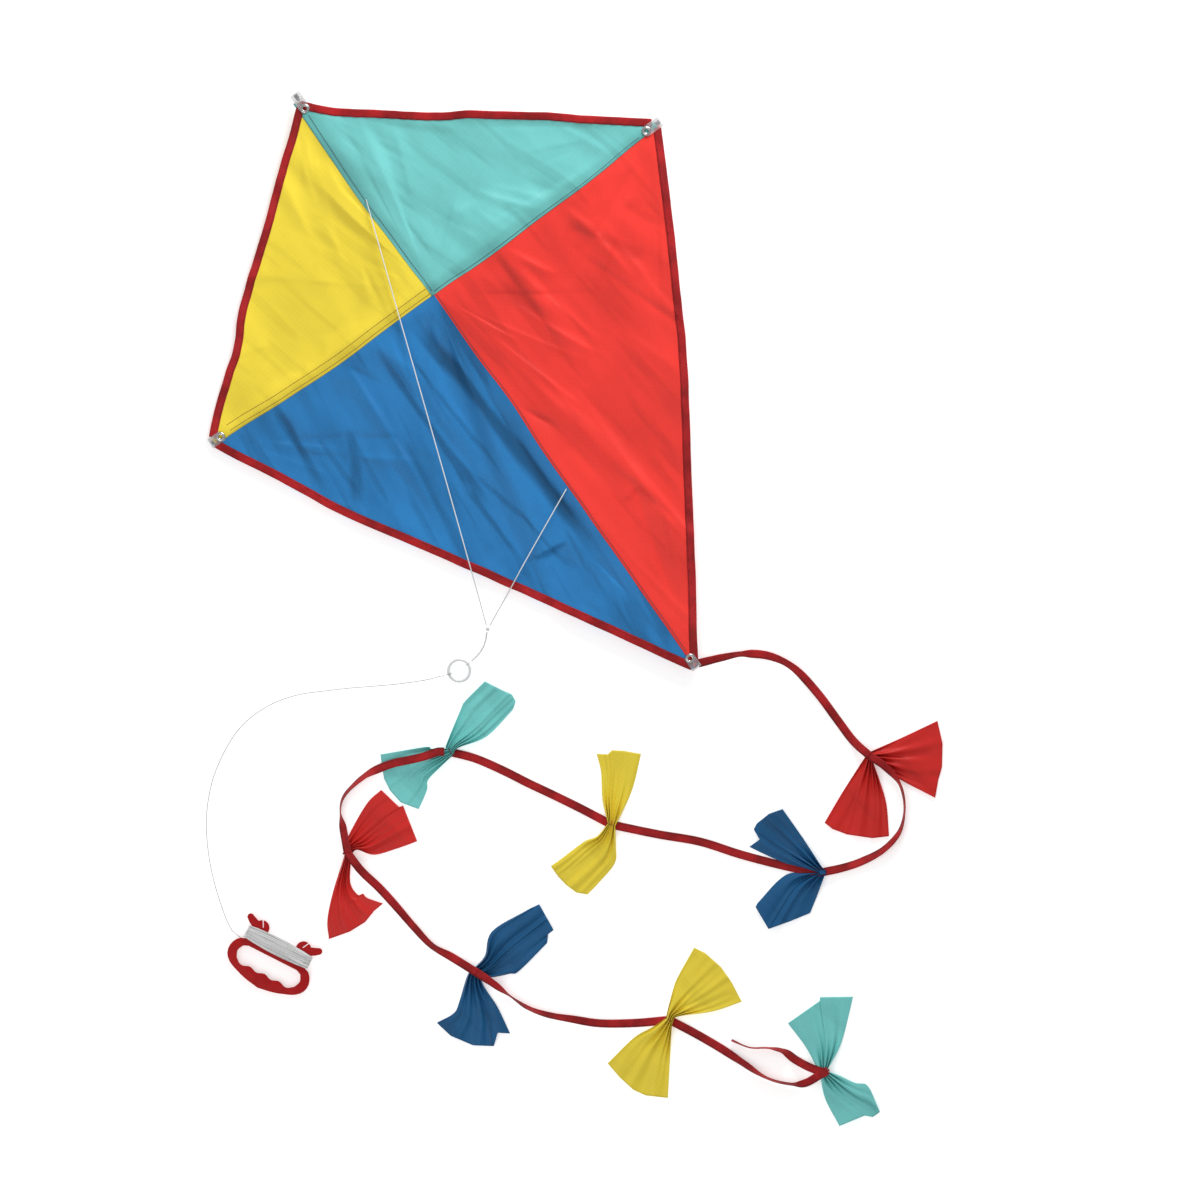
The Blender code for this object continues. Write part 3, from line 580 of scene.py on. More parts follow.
# %% Corners and edges
NOSE = Vector((0, 236)) * MM
RIGHT = Vector((279, 9)) * MM
TAIL = Vector((0, -464)) * MM
LEFT = Vector((-267, 3)) * MM
CROSSING = Vector((0.0, 5.93 * MM))
TIPS = {"nose": Vector((-3.5, 239)) * MM, "right": Vector((285, 9.5)) * MM,
        "tail": Vector((-1, -467.5)) * MM, "left": Vector((-271, 2)) * MM}
BULGE_AT = (0.002, 0.05, *[0.1 + 0.05 * step for step in range(17)], 0.95, 0.998)
BULGES = {
    # how far each edge bows out from its chord, in millimetres, at those shares
    "nose_left": (NOSE, LEFT, (2.0, 2.2, 2.2, 3.2, 4.2, 4.5, 4.8, 5.0, 5.8, 6.8, 7.8, 8.8, 9.2,
                               9.0, 6.5, 5.5, 7.2, 8.2, 9.0, 9.0, 8.2)),
    "tail_left": (LEFT, TAIL, (8.2, 9.8, 10.2, 11.2, 13.0, 14.8, 15.0, 14.2, 13.0, 12.0, 11.2,
                               10.5, 9.8, 9.0, 8.8, 8.5, 8.0, 7.8, 7.5, 7.5, 6.8)),
    "tail_right": (TAIL, RIGHT, (4.2, 4.8, 6.5, 8.0, 9.2, 10.2, 11.2, 12.2, 13.5, 14.8, 15.8,
                                 16.8, 17.0, 16.2, 15.5, 14.8, 14.0, 13.0, 11.8, 10.5, 9.0)),
    "nose_right": (RIGHT, NOSE, (8.2, 7.8, 7.5, 7.0, 6.8, 7.0, 7.2, 6.2, 5.5, 4.5, 4.0, 2.2,
                                 -0.8, -1.8, -2.2, -2.5, -3.0, -3.5, -3.8, -2.0, 1.0)),
}


def edge_line(quarter):
    start, end, bulges = BULGES[quarter]
    along = end - start
    side = Vector((along.y, -along.x)).normalized()
    knots = [start + along * share + side * out * MM for share, out in zip(BULGE_AT, bulges)]
    return [point.to_2d() for point in smooth_through([k.to_3d() for k in knots], 6)]


EDGES = {quarter: edge_line(quarter) for quarter in BULGES}
TIP_ENDS = {"nose_left": ("nose", "left"), "tail_left": ("left", "tail"),
            "tail_right": ("tail", "right"), "nose_right": ("right", "nose")}
RIMS = {quarter: [TIPS[first], *EDGES[quarter], TIPS[last]]
        for quarter, (first, last) in TIP_ENDS.items()}
print("sail edges:", {q: round(length_of(line), 3) for q, line in EDGES.items()})

# %% Height of the cloth
RIDGE = 11.25 * MM
SLOPE = 0.0225
SAG = 6.2 * MM
SPAR_REACH = 0.296
CAP_RISE = 1.1 * MM
TOP_SLACK = 0.9 * MM
SPAR_ROOM = 1.5 * MM
LOWEST_CLOTH = 1.2 * MM
FLOOR_EASE = 0.6 * MM
REACH = {"x": (0.267, 0.279), "y": (0.464, 0.236)}
FOLD_HEADING = {"nose_left": -100, "tail_left": -83, "tail_right": -76, "nose_right": -66}
LONG_FOLDS = {"nose_left": 9, "tail_left": 9, "tail_right": 15, "nose_right": 9}
FOLD_SIZE = {
    # height and width of the creases, as a share of the usual
    "nose_left": (0.75, 1.35), "tail_left": (0.9, 1.2), "tail_right": (0.85, 1.3),
    "nose_right": (0.72, 1.5),
}
CORNER_FOLDS = 6
TAU = math.tau

SET_FOLDS = {
    # the few long folds that are plain to see: start, end, height, width, bend, millimetres
    "tail_left": (((-33, -2), (-13, -318), -5.4, 15.0, 0.00), ((-78, -8), (-78, -212),
     -4.8, 13.0, 0.00),
                  ((-85, -186), (-85, -264), -2.6, 9.0, 0.04), ((-75, -168), (-38, -322),
                   -2.4, 9.0, 0.00),
                  ((-196, -4), (-209, -100), -3.0, 11.0, 0.10), ((-148, -70), (-188, -134),
                   -4.0, 16.0, 0.12),
                  ((-181, -58), (-180, -120), -2.2, 8.0, -0.06), ((-52, -60), (-44, -250),
                   2.0, 12.0, 0.00),
                  ((-120, -40), (-126, -180), 1.8, 16.0, 0.03)),
    "tail_right": (((60, -20), (118, -150), 2.0, 22.0, 0.04), ((150, -24), (196, -96),
     -2.4, 16.0, 0.00),
                   ((40, -120), (66, -300), 1.8, 20.0, 0.02), ((214, -40), (238, -80),
                    -2.2, 12.0, 0.00)),
    "nose_left": (((-160, 46), (-120, 20), -2.2, 13.0, 0.05),),
    "nose_right": (((22, 196), (60, 110), -2.4, 20.0, 0.02), ((96, 132), (128, 84),
     -2.2, 16.0, 0.05),
                   ((40, 60), (110, 40), 1.6, 18.0, 0.02)),
}


def make_creases():
    """Creases for each quarter: start, direction, length, height, width and bend."""
    draw = random.Random(7)
    creases = {}
    for quarter, (start, end, _) in BULGES.items():
        rows = []
        main = math.radians(FOLD_HEADING[quarter])
        taller, wider = FOLD_SIZE[quarter]
        for _ in range(LONG_FOLDS[quarter]):
            one, two = draw.uniform(0.04, 0.85), draw.uniform(0.05, 0.7)
            begin = start.lerp(end, one) * (1 - two)
            angle = main + draw.gauss(0, 0.20)
            heading = Vector((math.cos(angle), math.sin(angle)))
            length = draw.uniform(0.07, 0.24) * (0.6 if quarter.startswith("nose") else 1.0)
            rows.append((begin - heading * length / 2, heading, length,
                         draw.choice((-1, 1, 1)) * draw.uniform(1.4, 3.8) * taller * MM,
                         draw.uniform(3.0, 9.0) * wider * MM, draw.uniform(-0.12, 0.12)))
        for corner in (start, end, Vector((0, 0))):
            to_middle = ((start + end) / 3 - corner).normalized()
            spread = 0.34 if corner.length > 0.01 else 0.5
            for _ in range(CORNER_FOLDS):
                turn = Matrix.Rotation(draw.uniform(-spread, spread), 2)
                heading = (turn @ to_middle).normalized()
                begin = corner + heading * draw.uniform(0.015, 0.09)
                rows.append((begin, heading, draw.uniform(0.05, 0.17),
                             draw.choice((-1, 1)) * draw.uniform(0.7, 2.0) * taller * MM,
                             draw.uniform(2.5, 6.5) * wider * MM, draw.uniform(-0.06, 0.06)))
        for first, last, height, width, bend in SET_FOLDS[quarter]:
            along = (Vector(last) - Vector(first)) * MM
            rows.append((Vector(first) * MM, along.normalized(), along.length, height * MM,
                         width * MM, bend))
        creases[quarter] = rows
    return creases


CREASES = make_creases()


def smoothstep(value, low, high):
    share = max(0.0, min(1.0, (value - low) / (high - low)))
    return share * share * (3 - 2 * share)


def quarter_of(x, y):
    return ("nose_" if y > x * CROSS_LEAN else "tail_") + ("left" if x < 0 else "right")


def spar_reach(x, y):
    """How high the cross spar and its caps reach here when it is swung along the spine."""
    out = math.hypot(x, y - CROSSING.y)
    lean = math.degrees(math.atan2(abs(x), abs(y - CROSSING.y)))
    if out > SPAR_REACH:
        return 0.0
    return RIDGE - SLOPE * out + CAP_RISE - 7.0 * MM * smoothstep(abs(lean - 10.0), 1.5, 9.0)


def cloth_height(x, y, quarter=None):
    """How high the cloth lies at a place, in metres."""
    quarter = quarter or quarter_of(x, y)
    top = RIDGE - SLOPE * abs(x)
    a = abs(x) / REACH["x"][1 if x > 0 else 0]
    b = abs(y) / REACH["y"][1 if y > 0 else 0]
    free = max(0.0, 27 * a * b * (1.06 - a - b)) + 1.1 * a * b
    spot = Vector((x, y))
    rise = 0.0
    for begin, heading, length, height, width, bend in CREASES[quarter]:
        step = spot - begin
        gone = step.dot(heading) / length
        if 0 < gone < 1:
            away = step.x * heading.y - step.y * heading.x - bend * length * gone * gone
            reach = width * (0.45 if away < 0 else 1.5)
            if abs(away) < 3 * reach:
                body = math.sin(math.pi * gone) ** 0.8
                rise += height * body * math.exp(-(abs(away) / reach) ** 1.35)
    held = smoothstep(min(abs(x), abs(y - x * CROSS_LEAN)), 0.001, 0.020)
    rolling = noise.noise(Vector((x * 16, y * 12, 3.1))) * 2.6 * MM
    ripple = noise.noise(Vector((x * 52, y * 17, 8.7))) * 1.3 * MM
    high = top - SAG * free + (rise + rolling + ripple) * held
    over = high - (top - TOP_SLACK)
    if over > 0:
        high -= over * over / (over + 1.0 * MM)
    low = max(min(spar_reach(x, y), top - SPAR_ROOM), LOWEST_CLOTH)
    if high - low > 8 * FLOOR_EASE:
        return high
    return low + FLOOR_EASE * math.log1p(math.exp((high - low) / FLOOR_EASE))


print("cloth at the middle of the red panel:", round(cloth_height(0.09, -0.15) * 1000, 1), "mm")

# %% [markdown]
# A seam on light cloth is never quite straight. One small sideways shift of the whole
# sail, nothing at its edges and its middle, lets every seam and its stitches wander
# together.


# %% Sideways shift
def warped(spot):
    """A place on the flat sail, moved as the cloth has crept along its seams."""
    a = abs(spot.x) / REACH["x"][1 if spot.x > 0 else 0]
    b = abs(spot.y) / REACH["y"][1 if spot.y > 0 else 0]
    free = smoothstep(1 - a - b, -0.02, 0.22) * smoothstep(a + b, 0.01, 0.18)
    droop = -3.4 * math.sin(math.pi * min(1.0, a)) * math.exp(-(spot.y / 0.07) ** 2)
    lean = -2.4 * math.sin(math.pi * min(1.0, b)) * math.exp(-(spot.x / 0.06) ** 2)
    lean = lean if spot.y > 0 else 0.0
    stray = Vector((noise.noise(Vector((spot.x * 11, spot.y * 11, 21))),
                    noise.noise(Vector((spot.x * 11, spot.y * 11, 47)))))
    return spot + (Vector((lean, droop)) + stray * 2.6) * free * MM


# %% [markdown]
# The four panels
# ---------------
# Each panel is cut a little larger than its quarter, so that it laps over its neighbour:
# teal lies over yellow and red, and yellow over blue. The grid fans out from where the
# rods cross, so its lines run the way the cloth is pulled. Solidify gives the cloth its
# thickness.

# %% Panels
PANELS = (
    # quarter, colour, lap beyond the spine's seam and the spar's seam, height over the frame
    ("nose_left", "yellow", 0.0, 3.0, 0.30),
    ("tail_left", "blue", 0.0, 0.0, 0.0),
    ("tail_right", "red", 1.0, 0.0, 0.15),
    ("nose_right", "teal", 3.6, 3.6, 0.60),
)
PANEL_GRID = {"nose_left": (132, 96), "tail_left": (230, 130), "tail_right": (170, 110),
              "nose_right": (132, 96)}
CLOTH_THICKNESS = 0.14 * MM
SIDE = {"left": -1, "right": 1}
UP = {"nose": 1, "tail": -1}


def make_panel(quarter, colour, lap_x, lap_y, over):
    end, side = quarter.split("_")
    shift = Vector((-SIDE[side] * lap_x, -UP[end] * lap_y)) * MM
    line = RIMS[quarter]
    sideways = quarter in ("nose_left", "tail_right")

    def place(u, v):
        outer = point_on(line, u)
        near_spine = u if not sideways else 1 - u
        lap = Vector((shift.x * near_spine, shift.y * (1 - near_spine)))
        grown = v ** 0.9
        spot = warped(shift * (1 - grown) + (outer + lap) * grown)
        height = cloth_height(spot.x, spot.y, quarter) + over * MM
        return Vector((spot.x, spot.y, height))

    shell = mapped_grid(*PANEL_GRID[quarter], place)
    bmesh.ops.remove_doubles(shell, verts=shell.verts, dist=0.00001)
    face_up(shell)
    # this is the finished panel's own area, not the flat cut's, so it can't show a stretch
    area = sum(face.calc_area() for face in shell.faces)
    panel = new_piece("panel_" + quarter, shell, SAIL_FINISH[colour], "kite")
    thicken(panel, CLOTH_THICKNESS)
    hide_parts("sail_" + quarter)
    print(panel.name, round(area, 4), "m2")
    return panel


for row in PANELS:
    make_panel(*row)

# %% [markdown]
# Stitches
# --------
# A seam is a row of separate stitches, each about two and a half millimetres long. Each
# is a little six-sided bar laid on the cloth, so the row reads as thread and not as a
# drawn line. One mesh holds a whole row.


# %% Stitch rows
def stitch_row(name, lines, material, body, height, long=2.5, gap=0.55, thick=0.55):
    """Stitches along flat lines. height(x, y) says how high the cloth is."""
    shell = bmesh.new()
    count = 0
    for line in lines:
        total = length_of(line)
        pitch = (long + gap) * MM
        for step in range(int(total / pitch)):
            first = point_on(line, (step + 0.2) * pitch / total)
            last = point_on(line, ((step + 0.2) * pitch + long * MM) / total)
            a = Vector((first.x, first.y, height(first.x, first.y)))
            b = Vector((last.x, last.y, height(last.x, last.y)))
            stand = (b - a).to_track_quat("Z", "Y").to_matrix().to_4x4()
            move = Matrix.Translation((a + b) / 2)
            bmesh.ops.create_cone(shell, cap_ends=True, segments=5, radius1=thick * MM / 2,
                                  radius2=thick * MM / 2, depth=(b - a).length,
                                  matrix=move @ stand)
            count += 1
    piece = new_piece(name, shell, material, body)
    print(name, count, "stitches")
    return piece


SEAM_TRIM = 0.014


def seam_line(start, end, away):
    """A straight seam line moved sideways, stopping short of the corner."""
    along = (end - start).normalized()
    side = Vector((-along.y, along.x)) * away * MM
    first = start + along * 0.0005 + side
    last = end - along * SEAM_TRIM + side
    return [warped(first.lerp(last, i / 60)) for i in range(61)]


ORIGIN = Vector((0.0, 0.0))


def above_cloth(lift):
    """The height of a thread that lies a lift, in millimetres, over the frame's cloth."""
    return lambda x, y: cloth_height(x, y) + lift * MM


stitch_row("stitches_teal_seams",
           [seam_line(ORIGIN, NOSE, 0.4), seam_line(ORIGIN, RIGHT, -0.4)],
           STITCH_DARK, "kite", above_cloth(0.78))
stitch_row("stitches_yellow_seam",
           [seam_line(ORIGIN, LEFT, 0.2), seam_line(ORIGIN, LEFT, -6.4)],
           STITCH_BROWN, "kite", above_cloth(0.46))
stitch_row("stitches_spine_seam", [seam_line(ORIGIN, TAIL, 0.9)],
           STITCH_DARK, "kite", above_cloth(0.34))

# %% [markdown]
# Edge tape
# ---------
# The raw edges are bound with ribbon folded over them. Its section is a flat loop: a fold
# round the cloth's edge, and one leg on each face. The section is swept along the edge and
# follows the cloth's height, with small puckers where the needle pulled it in.

# %% Tape
TAPE_SECTION = ((8.0, -0.45), (7.8, 0.62), (6.0, 0.78), (3.0, 0.80), (1.0, 0.74), (0.0, 0.62),
                (-0.45, 0.25), (-0.45, -0.20), (0.0, -0.45), (3.0, -0.52), (6.0, -0.50))


def make_tape(quarter, over):
    line = EDGES[quarter]
    total = length_of(line)
    section = [*TAPE_SECTION, TAPE_SECTION[0]]

    def place(u, v):
        spot = point_on(line, v)
        ahead = point_on(line, v + 0.012) - point_on(line, v - 0.012)
        inward = Vector((-ahead.y, ahead.x)).normalized()
        wide, high = section[round(u * (len(section) - 1))]
        flutter = 0.35 * math.sin(v * total / 0.011)
        flutter += 0.5 * noise.noise(Vector((v * 30, 0.0, 1)))
        spot = spot + inward * (wide + 0.4 * noise.noise(Vector((v * 22, 4, 2)))) * MM
        pucker = 0.18 * math.sin(v * total / 0.0019) if wide > 5 else 0
        high = high + over + flutter * 0.25 + pucker
        return Vector((spot.x, spot.y, cloth_height(spot.x, spot.y, quarter) + high * MM))

    shell = mapped_grid(len(section) - 1, 170, place, (1.0, total), loop=True, caps=True)
    tape = new_piece("tape_" + quarter, shell, RIBBON, "kite")
    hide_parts("edge_tape_" + quarter)
    return tape


def tape_stitch_line(quarter):
    line = EDGES[quarter]
    out = []
    for step in range(121):
        share = 0.03 + 0.94 * step / 120
        ahead = point_on(line, share + 0.01) - point_on(line, share - 0.01)
        out.append(point_on(line, share) + Vector((-ahead.y, ahead.x)).normalized() * 6.6 * MM)
    return out


TAPE_LIFT = {"nose_left": 0.10, "tail_left": 0.35, "tail_right": 0.15, "nose_right": 0.55}
for quarter, lift in TAPE_LIFT.items():
    make_tape(quarter, lift)


def over_tape(x, y):
    return cloth_height(x, y) + (0.86 + TAPE_LIFT[quarter_of(x, y)]) * MM


stitch_row("stitches_tape", [tape_stitch_line(quarter) for quarter in TAPE_LIFT], STITCH_RED,
           "kite", over_tape, 2.2, 0.9, 0.4)

# %% [markdown]
# Rods, caps and the turning fitting
# ----------------------------------
# These are plain hard parts, seen mostly from below. The fittings are copies of their frame
# solids with rounded edges, in black plastic, and the rods keep their frame solids, with
# ground glass fibre.

# %% Frame parts
for node, body, width in (("spine_sleeve", "kite", 0.4), ("cross_sleeve", "spar", 0.4),
                          ("rod_cap_nose", "kite", 0.3), ("rod_cap_tail", "kite", 0.3),
                          ("rod_cap_left", "spar", 0.3), ("rod_cap_right", "spar", 0.3)):
    softened(node, body, BLACK_PLASTIC, width * MM)
refinish(GLASS_FIBRE, "spine_rod", "cross_spar")

# %% [markdown]
# Corner pockets and eyelets
# --------------------------
# Each rod's tip pushes into a strip of clear vinyl that is folded over it and held by a
# nickel eyelet. The strip is a softened copy of its solid. The eyelet is turned: half a
# section with a rolled rim, spun round its axis.

# %% Pockets and eyelets
EYELETS = {"nose": (NOSE, 222.0), "right": (RIGHT, 272.5), "tail": (TAIL, 463.0),
           "left": (LEFT, 262.6)}
RIM_SECTION = ((2.35, -0.9), (3.4, -0.9), (3.4, -1.25), (1.95, -1.25), (1.95, 0.30),
               (2.15, 0.75), (2.75, 0.98), (3.6, 0.92), (4.4, 0.55), (4.8, 0.08), (4.65, -0.05),
               (2.6, -0.02), (2.35, -0.25))


def make_eyelet(corner):
    place, distance = EYELETS[corner]
    spot = CROSSING + (place - CROSSING).normalized() * distance * MM
    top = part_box("corner_pocket_" + corner)[1][2] + 0.06 * MM
    shell = bmesh.new()
    ring = [shell.verts.new((x * MM, 0, z * MM)) for x, z in RIM_SECTION]
    edges = [shell.edges.new(pair) for pair in zip(ring, ring[1:] + ring[:1])]
    bmesh.ops.spin(shell, geom=ring + edges, axis=(0, 0, 1), cent=(0, 0, 0), steps=48,
                   angle=TAU, use_merge=True)
    bmesh.ops.recalc_face_normals(shell, faces=shell.faces)
    bmesh.ops.translate(shell, verts=shell.verts, vec=(spot.x, spot.y, top))
    eyelet = new_piece("eyelet_ring_" + corner, shell, NICKEL, "kite")
    eyelet.data.set_sharp_from_angle(angle=math.radians(60))
    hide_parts("eyelet_" + corner)
    return eyelet


def make_pocket(corner):
    """The vinyl strip, cut off under the eyelet so that only its outer end shows."""
    pocket = softened("corner_pocket_" + corner, "kite", VINYL, 0.16 * MM, 2)
    place, distance = EYELETS[corner]
    out = (place - CROSSING).normalized()
    cut = CROSSING + out * (distance - 2.6) * MM
    shell = bmesh.new()
    shell.from_mesh(pocket.data)
    bmesh.ops.bisect_plane(shell, geom=[*shell.verts, *shell.edges, *shell.faces],
                           plane_co=cut.to_3d(), plane_no=-out.to_3d(), clear_outer=True)
    rims = [edge for edge in shell.edges if edge.is_boundary]
    bmesh.ops.holes_fill(shell, edges=rims)
    shell.to_mesh(pocket.data)
    shell.free()
    return pocket


for corner in EYELETS:
    make_pocket(corner)
    make_eyelet(corner)

# %% [markdown]
# The bridle
# ----------
# Two legs leave the spine, one near the nose and one nearer the tail, and meet in a knot.
# From there a doubled cord runs to the tow ring. The cords lie over the cloth and drop
# over its edge. Each is a curve with a round section of its diameter, and its length is printed.

# %% Bridle cords
UPPER_LEG = ((-2, 116, 12.6), (-30, 36, 12.4), (-90, -137, 11.9), (-127, -243, 10.6),
             (-140, -280, 7.0), (-151, -310.5, 2.8))
LOWER_LEG = ((-4, -243, 12.6), (-40, -260, 12.2), (-84, -281, 11.6), (-112, -295, 9.4),
             (-132, -304.6, 5.4), (-148.4, -312.4, 2.8))
TOW_LOOP = ((-154.4, -316.2, 2.6), (-160, -322, 2.0), (-167, -326.8, 1.6), (-176, -330, 1.8),
            (-184.2, -331.2, 3.0))


def make_bridle_cord(name, points, diameter, node):
    line = [point * MM for point in smooth_through(points, 8)]
    piece = curve_piece(name, line, diameter * MM, BRIDLE_CORD, "bridle")
    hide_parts(node)
    length_of(line)
    print(name, round(length_of(line), 3), "m")
    return piece


make_bridle_cord("upper_leg", UPPER_LEG, 1.2, "bridle_upper_leg")
make_bridle_cord("lower_leg", LOWER_LEG, 1.2, "bridle_lower_leg")
make_bridle_cord("doubled_tow_cord", TOW_LOOP, 1.6, "tow_loop")
refinish(BRIDLE_CORD, "bridle_hitch_upper", "bridle_hitch_lower", "bridle_knot",
         "tow_loop_link")
refinish(LINE, "line_hitch")
refinish(WHITE_PLASTIC, "tow_ring")

# %% [markdown]
# The flying line and its winding
# -------------------------------
# The line is one cord from the ring to its last turn on the winder. Its free part lies in a
# wide curve. The rest is wound lengthwise round the winder's bar: out along the front,
# round the neck, and back along the underside. A loop lays each turn beside the last, and
# each layer on the one below, until the whole length is used.

# %% Line and winding
FLYING_LINE = ((-215.3, -327.6, 3.0), (-221, -325, 1.9), (-233, -320.5, 1.1), (-256, -309, 0.8),
               (-279, -296, 0.8), (-301, -283, 0.8), (-325, -270, 0.8), (-350, -257.5, 0.8),
               (-378, -250, 0.8), (-409, -250, 0.8), (-437, -259, 0.8), (-466, -276, 0.8),
               (-488, -296, 0.8), (-505, -318, 0.8), (-520, -345, 0.8), (-531, -372, 0.8),
               (-538, -395, 0.9), (-541, -408, 1.2), (-542, -416, 1.6))
WINDER_CENTRE = Vector((-513, -457)) * MM
BAR_MIDDLE = 5.7
NECK = 33.6
LINE_DIAMETER = 0.7
LINE_LENGTH = 15.0
LANES = 19


def on_winder(u, v, z):
    """A point in the winder's own millimetres, along the bar and towards the horns."""
    turn = Matrix.Rotation(WINDER_TURN, 2)
    flat = turn @ Vector((u, v)) * MM + WINDER_CENTRE
    return Vector((flat.x, flat.y, z * MM))


def one_turn(layer, across, wobble):
    """The points of one turn round the bar, lengthwise."""
    reach = NECK + 0.3 + 0.55 * layer
    rise = 2.9 + 0.62 * layer
    points = []
    for step in range(16):
        angle = TAU * step / 16 + 0.2
        u = reach * max(-1.0, min(1.0, 1.25 * math.cos(angle)))
        z = rise * max(-1.0, min(1.0, 1.5 * math.sin(angle)))
        belly = 1.0 + 0.32 * (1 - (u / reach) ** 2)
        v = (across + wobble * math.sin(angle + across)) * belly
        points.append((u, v, BAR_MIDDLE + z))
    return points


def wound_line():
    """Turn after turn, to and fro across the bar, until the line is used up."""
    draw = random.Random(3)
    line = [point * MM for point in smooth_through(FLYING_LINE, 6)]
    entry = [(-38.6, -9.0, 2.6), (-36.0, -8.4, 3.0)]
    line += [on_winder(*p) for p in entry]
    left = LINE_LENGTH - length_of(line)
    layer, slot, way = 0, 0, 1
    while left > 0:
        across = -6.1 + 12.2 * (slot if way > 0 else LANES - 1 - slot) / (LANES - 1)
        turn = [on_winder(*p) for p in one_turn(layer, across, draw.uniform(-0.5, 0.5))]
        left -= length_of([line[-1], *turn])
        line += turn
        slot += 1
        if slot == LANES:
            layer, slot, way = layer + 1, 0, -way
    return line


def make_line():
    """The line as one tube. Its free part follows the line body and its turns the winder."""
    line = wound_line()
    draft = curve_piece("line_draft", line, LINE_DIAMETER * MM, LINE, None, 1)
    bpy.context.view_layer.update()
    ready = draft.evaluated_get(bpy.context.evaluated_depsgraph_get())
    mesh = bpy.data.meshes.new_from_object(ready)
    bpy.data.objects.remove(draft)
    mesh.name = "flying_line_and_winding"
    layer = mesh.uv_layers.new(name="UVMap")
    for loop, mark in zip(mesh.loops, layer.data):
        away = mesh.vertices[loop.vertex_index].co.to_2d() - WINDER_CENTRE
        mark.uv = (1 - smoothstep(abs(away.x) + abs(away.y), 0.055, 0.075), 0.0)
    piece = bpy.data.objects.new("flying_line_and_winding", mesh)
    SCENE.collection.objects.link(piece)
    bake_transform(piece)
    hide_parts("flying_line", "line_winding")
    tuple(line[0])
    length_of(line)
    [tuple(p) for p in line]
    print("line:", round(length_of(line), 2), "m in", len(line), "points")
    return piece


make_line()

# %% [markdown]
# The winder
# ----------
# It is moulded in one piece from red plastic: a bar with two forked horns for the turns,
# and a handle that is grooved for four fingers. The frame solid has the outline, so the
# piece is a copy of it with its edges rounded, as they are on a moulding.

# %% Winder
winder = softened("winder", "winder", RED_PLASTIC, 1.1 * MM, 4)

# %% [markdown]
# The ribbon tail
# ---------------
# The tail is one long ribbon, cut by its bows into nine strips. It lies flat for most of
# its way and rolls on to its edge where it bends, so each strip has a route, the heights
# of its two ends, and a list of how far it is rolled at some shares of its length. A flat
# section swept along the route, and turned by the roll, makes the strip.

# %% Ribbon strips
RIBBON_WIDTH = 8.6
RIBBON_THICKNESS = 0.36
LYING = 0.7
STRIPS = (
    # body, route, height and reach of the lift at each end, (share, roll in degrees)
    ("tail_upper", ((4, -466), (27, -475), (48, -485), (68, -502), (81, -526), (86, -560),
                    (87, -595), (88, -622), (93, -644)),
     (5.4, 6), (7.4, 10), ((0, 0), (0.08, 24), (0.2, 50), (0.27, 4), (0.42, 36), (0.6, -5),
                           (0.8, 8), (1, 0))),
    ("tail_upper", ((93, -644), (99, -660), (102, -679), (98, -696), (88, -712), (72, -725),
                    (49, -730), (24, -727), (4, -721), (-15, -713)),
     (7.4, 34), (3.6, 12), ((0, 12), (0.12, 30), (0.24, 70), (0.38, 76), (0.6, 45), (0.8, 22),
                            (1, 10))),
    ("tail_lower", ((-15, -713), (-30, -699), (-46, -682), (-73, -650), (-99, -616),
                    (-130, -585), (-163, -550)),
     (3.6, 22), (1.6, 10), ((0, 0), (0.3, 5), (0.6, -6), (0.9, 4), (1, 0))),
    ("tail_lower", ((-163, -550), (-180, -517), (-196, -488), (-208, -467), (-222, -441),
                    (-238, -415), (-255, -395)),
     (1.6, 10), (1.6, 12), ((0, 0), (0.4, 7), (0.8, -4), (1, 0))),
    ("tail_lower", ((-260, -391), (-266, -387), (-280, -383), (-295, -377), (-312, -370),
                    (-336, -365), (-356, -366), (-371, -370), (-381, -379), (-389, -395),
                    (-400, -419)),
     (8.0, 74), (8.6, 14), ((0, 10), (0.2, -8), (0.38, 4), (0.50, 52), (0.62, 66), (0.76, 82),
                            (0.86, 28), (1, 20))),
    ("tail_lower", ((-400, -419), (-399, -442), (-394, -467), (-391, -490), (-388, -520),
                    (-384, -546), (-374, -567), (-362, -595)),
     (8.6, 40), (8.4, 16), ((0, 12), (0.3, 10), (0.55, 30), (0.72, 44), (0.85, 10), (1, 0))),
    ("tail_lower", ((-362, -595), (-355, -613), (-348, -634), (-340, -654), (-327, -672),
                    (-309, -690), (-289, -709), (-260, -729), (-229, -747)),
     (8.4, 40), (1.6, 12), ((0, 0), (0.10, 34), (0.20, 78), (0.30, 60), (0.42, 44), (0.6, 18),
                            (1, 0))),
    ("tail_lower", ((-229, -747), (-216, -772), (-203, -800), (-193, -825), (-183, -850),
                    (-169, -868), (-153, -879), (-131, -881)),
     (1.6, 10), (7.4, 14), ((0, 0), (0.35, 10), (0.5, 40), (0.66, 72), (0.8, 70), (0.88, 20),
                            (1, 0))),
    ("tail_lower", ((-131, -881), (-140, -868), (-147, -854), (-152, -840), (-163, -828),
                    (-178, -817), (-189, -800)),
     (6.6, 24), (0.7, 1), ((0, 0), (0.35, 8), (0.5, 60), (0.62, 78), (0.85, 80), (1, 74))),
)


def between(table, share):
    """A value from (share, value) pairs, eased from each to the next."""
    for (start, first), (end, last) in zip(table, table[1:]):
        if share <= end:
            return first + (last - first) * smoothstep(share, start, end)
    return table[-1][1]


def strip_height(share, total, first, last):
    height = LYING
    for (top, reach), gone in ((first, share * total), (last, (1 - share) * total)):
        fallen = smoothstep(gone, reach * 0.35, reach + 18)
        height = max(height, LYING + (top - LYING) * (1 - fallen))
    return height


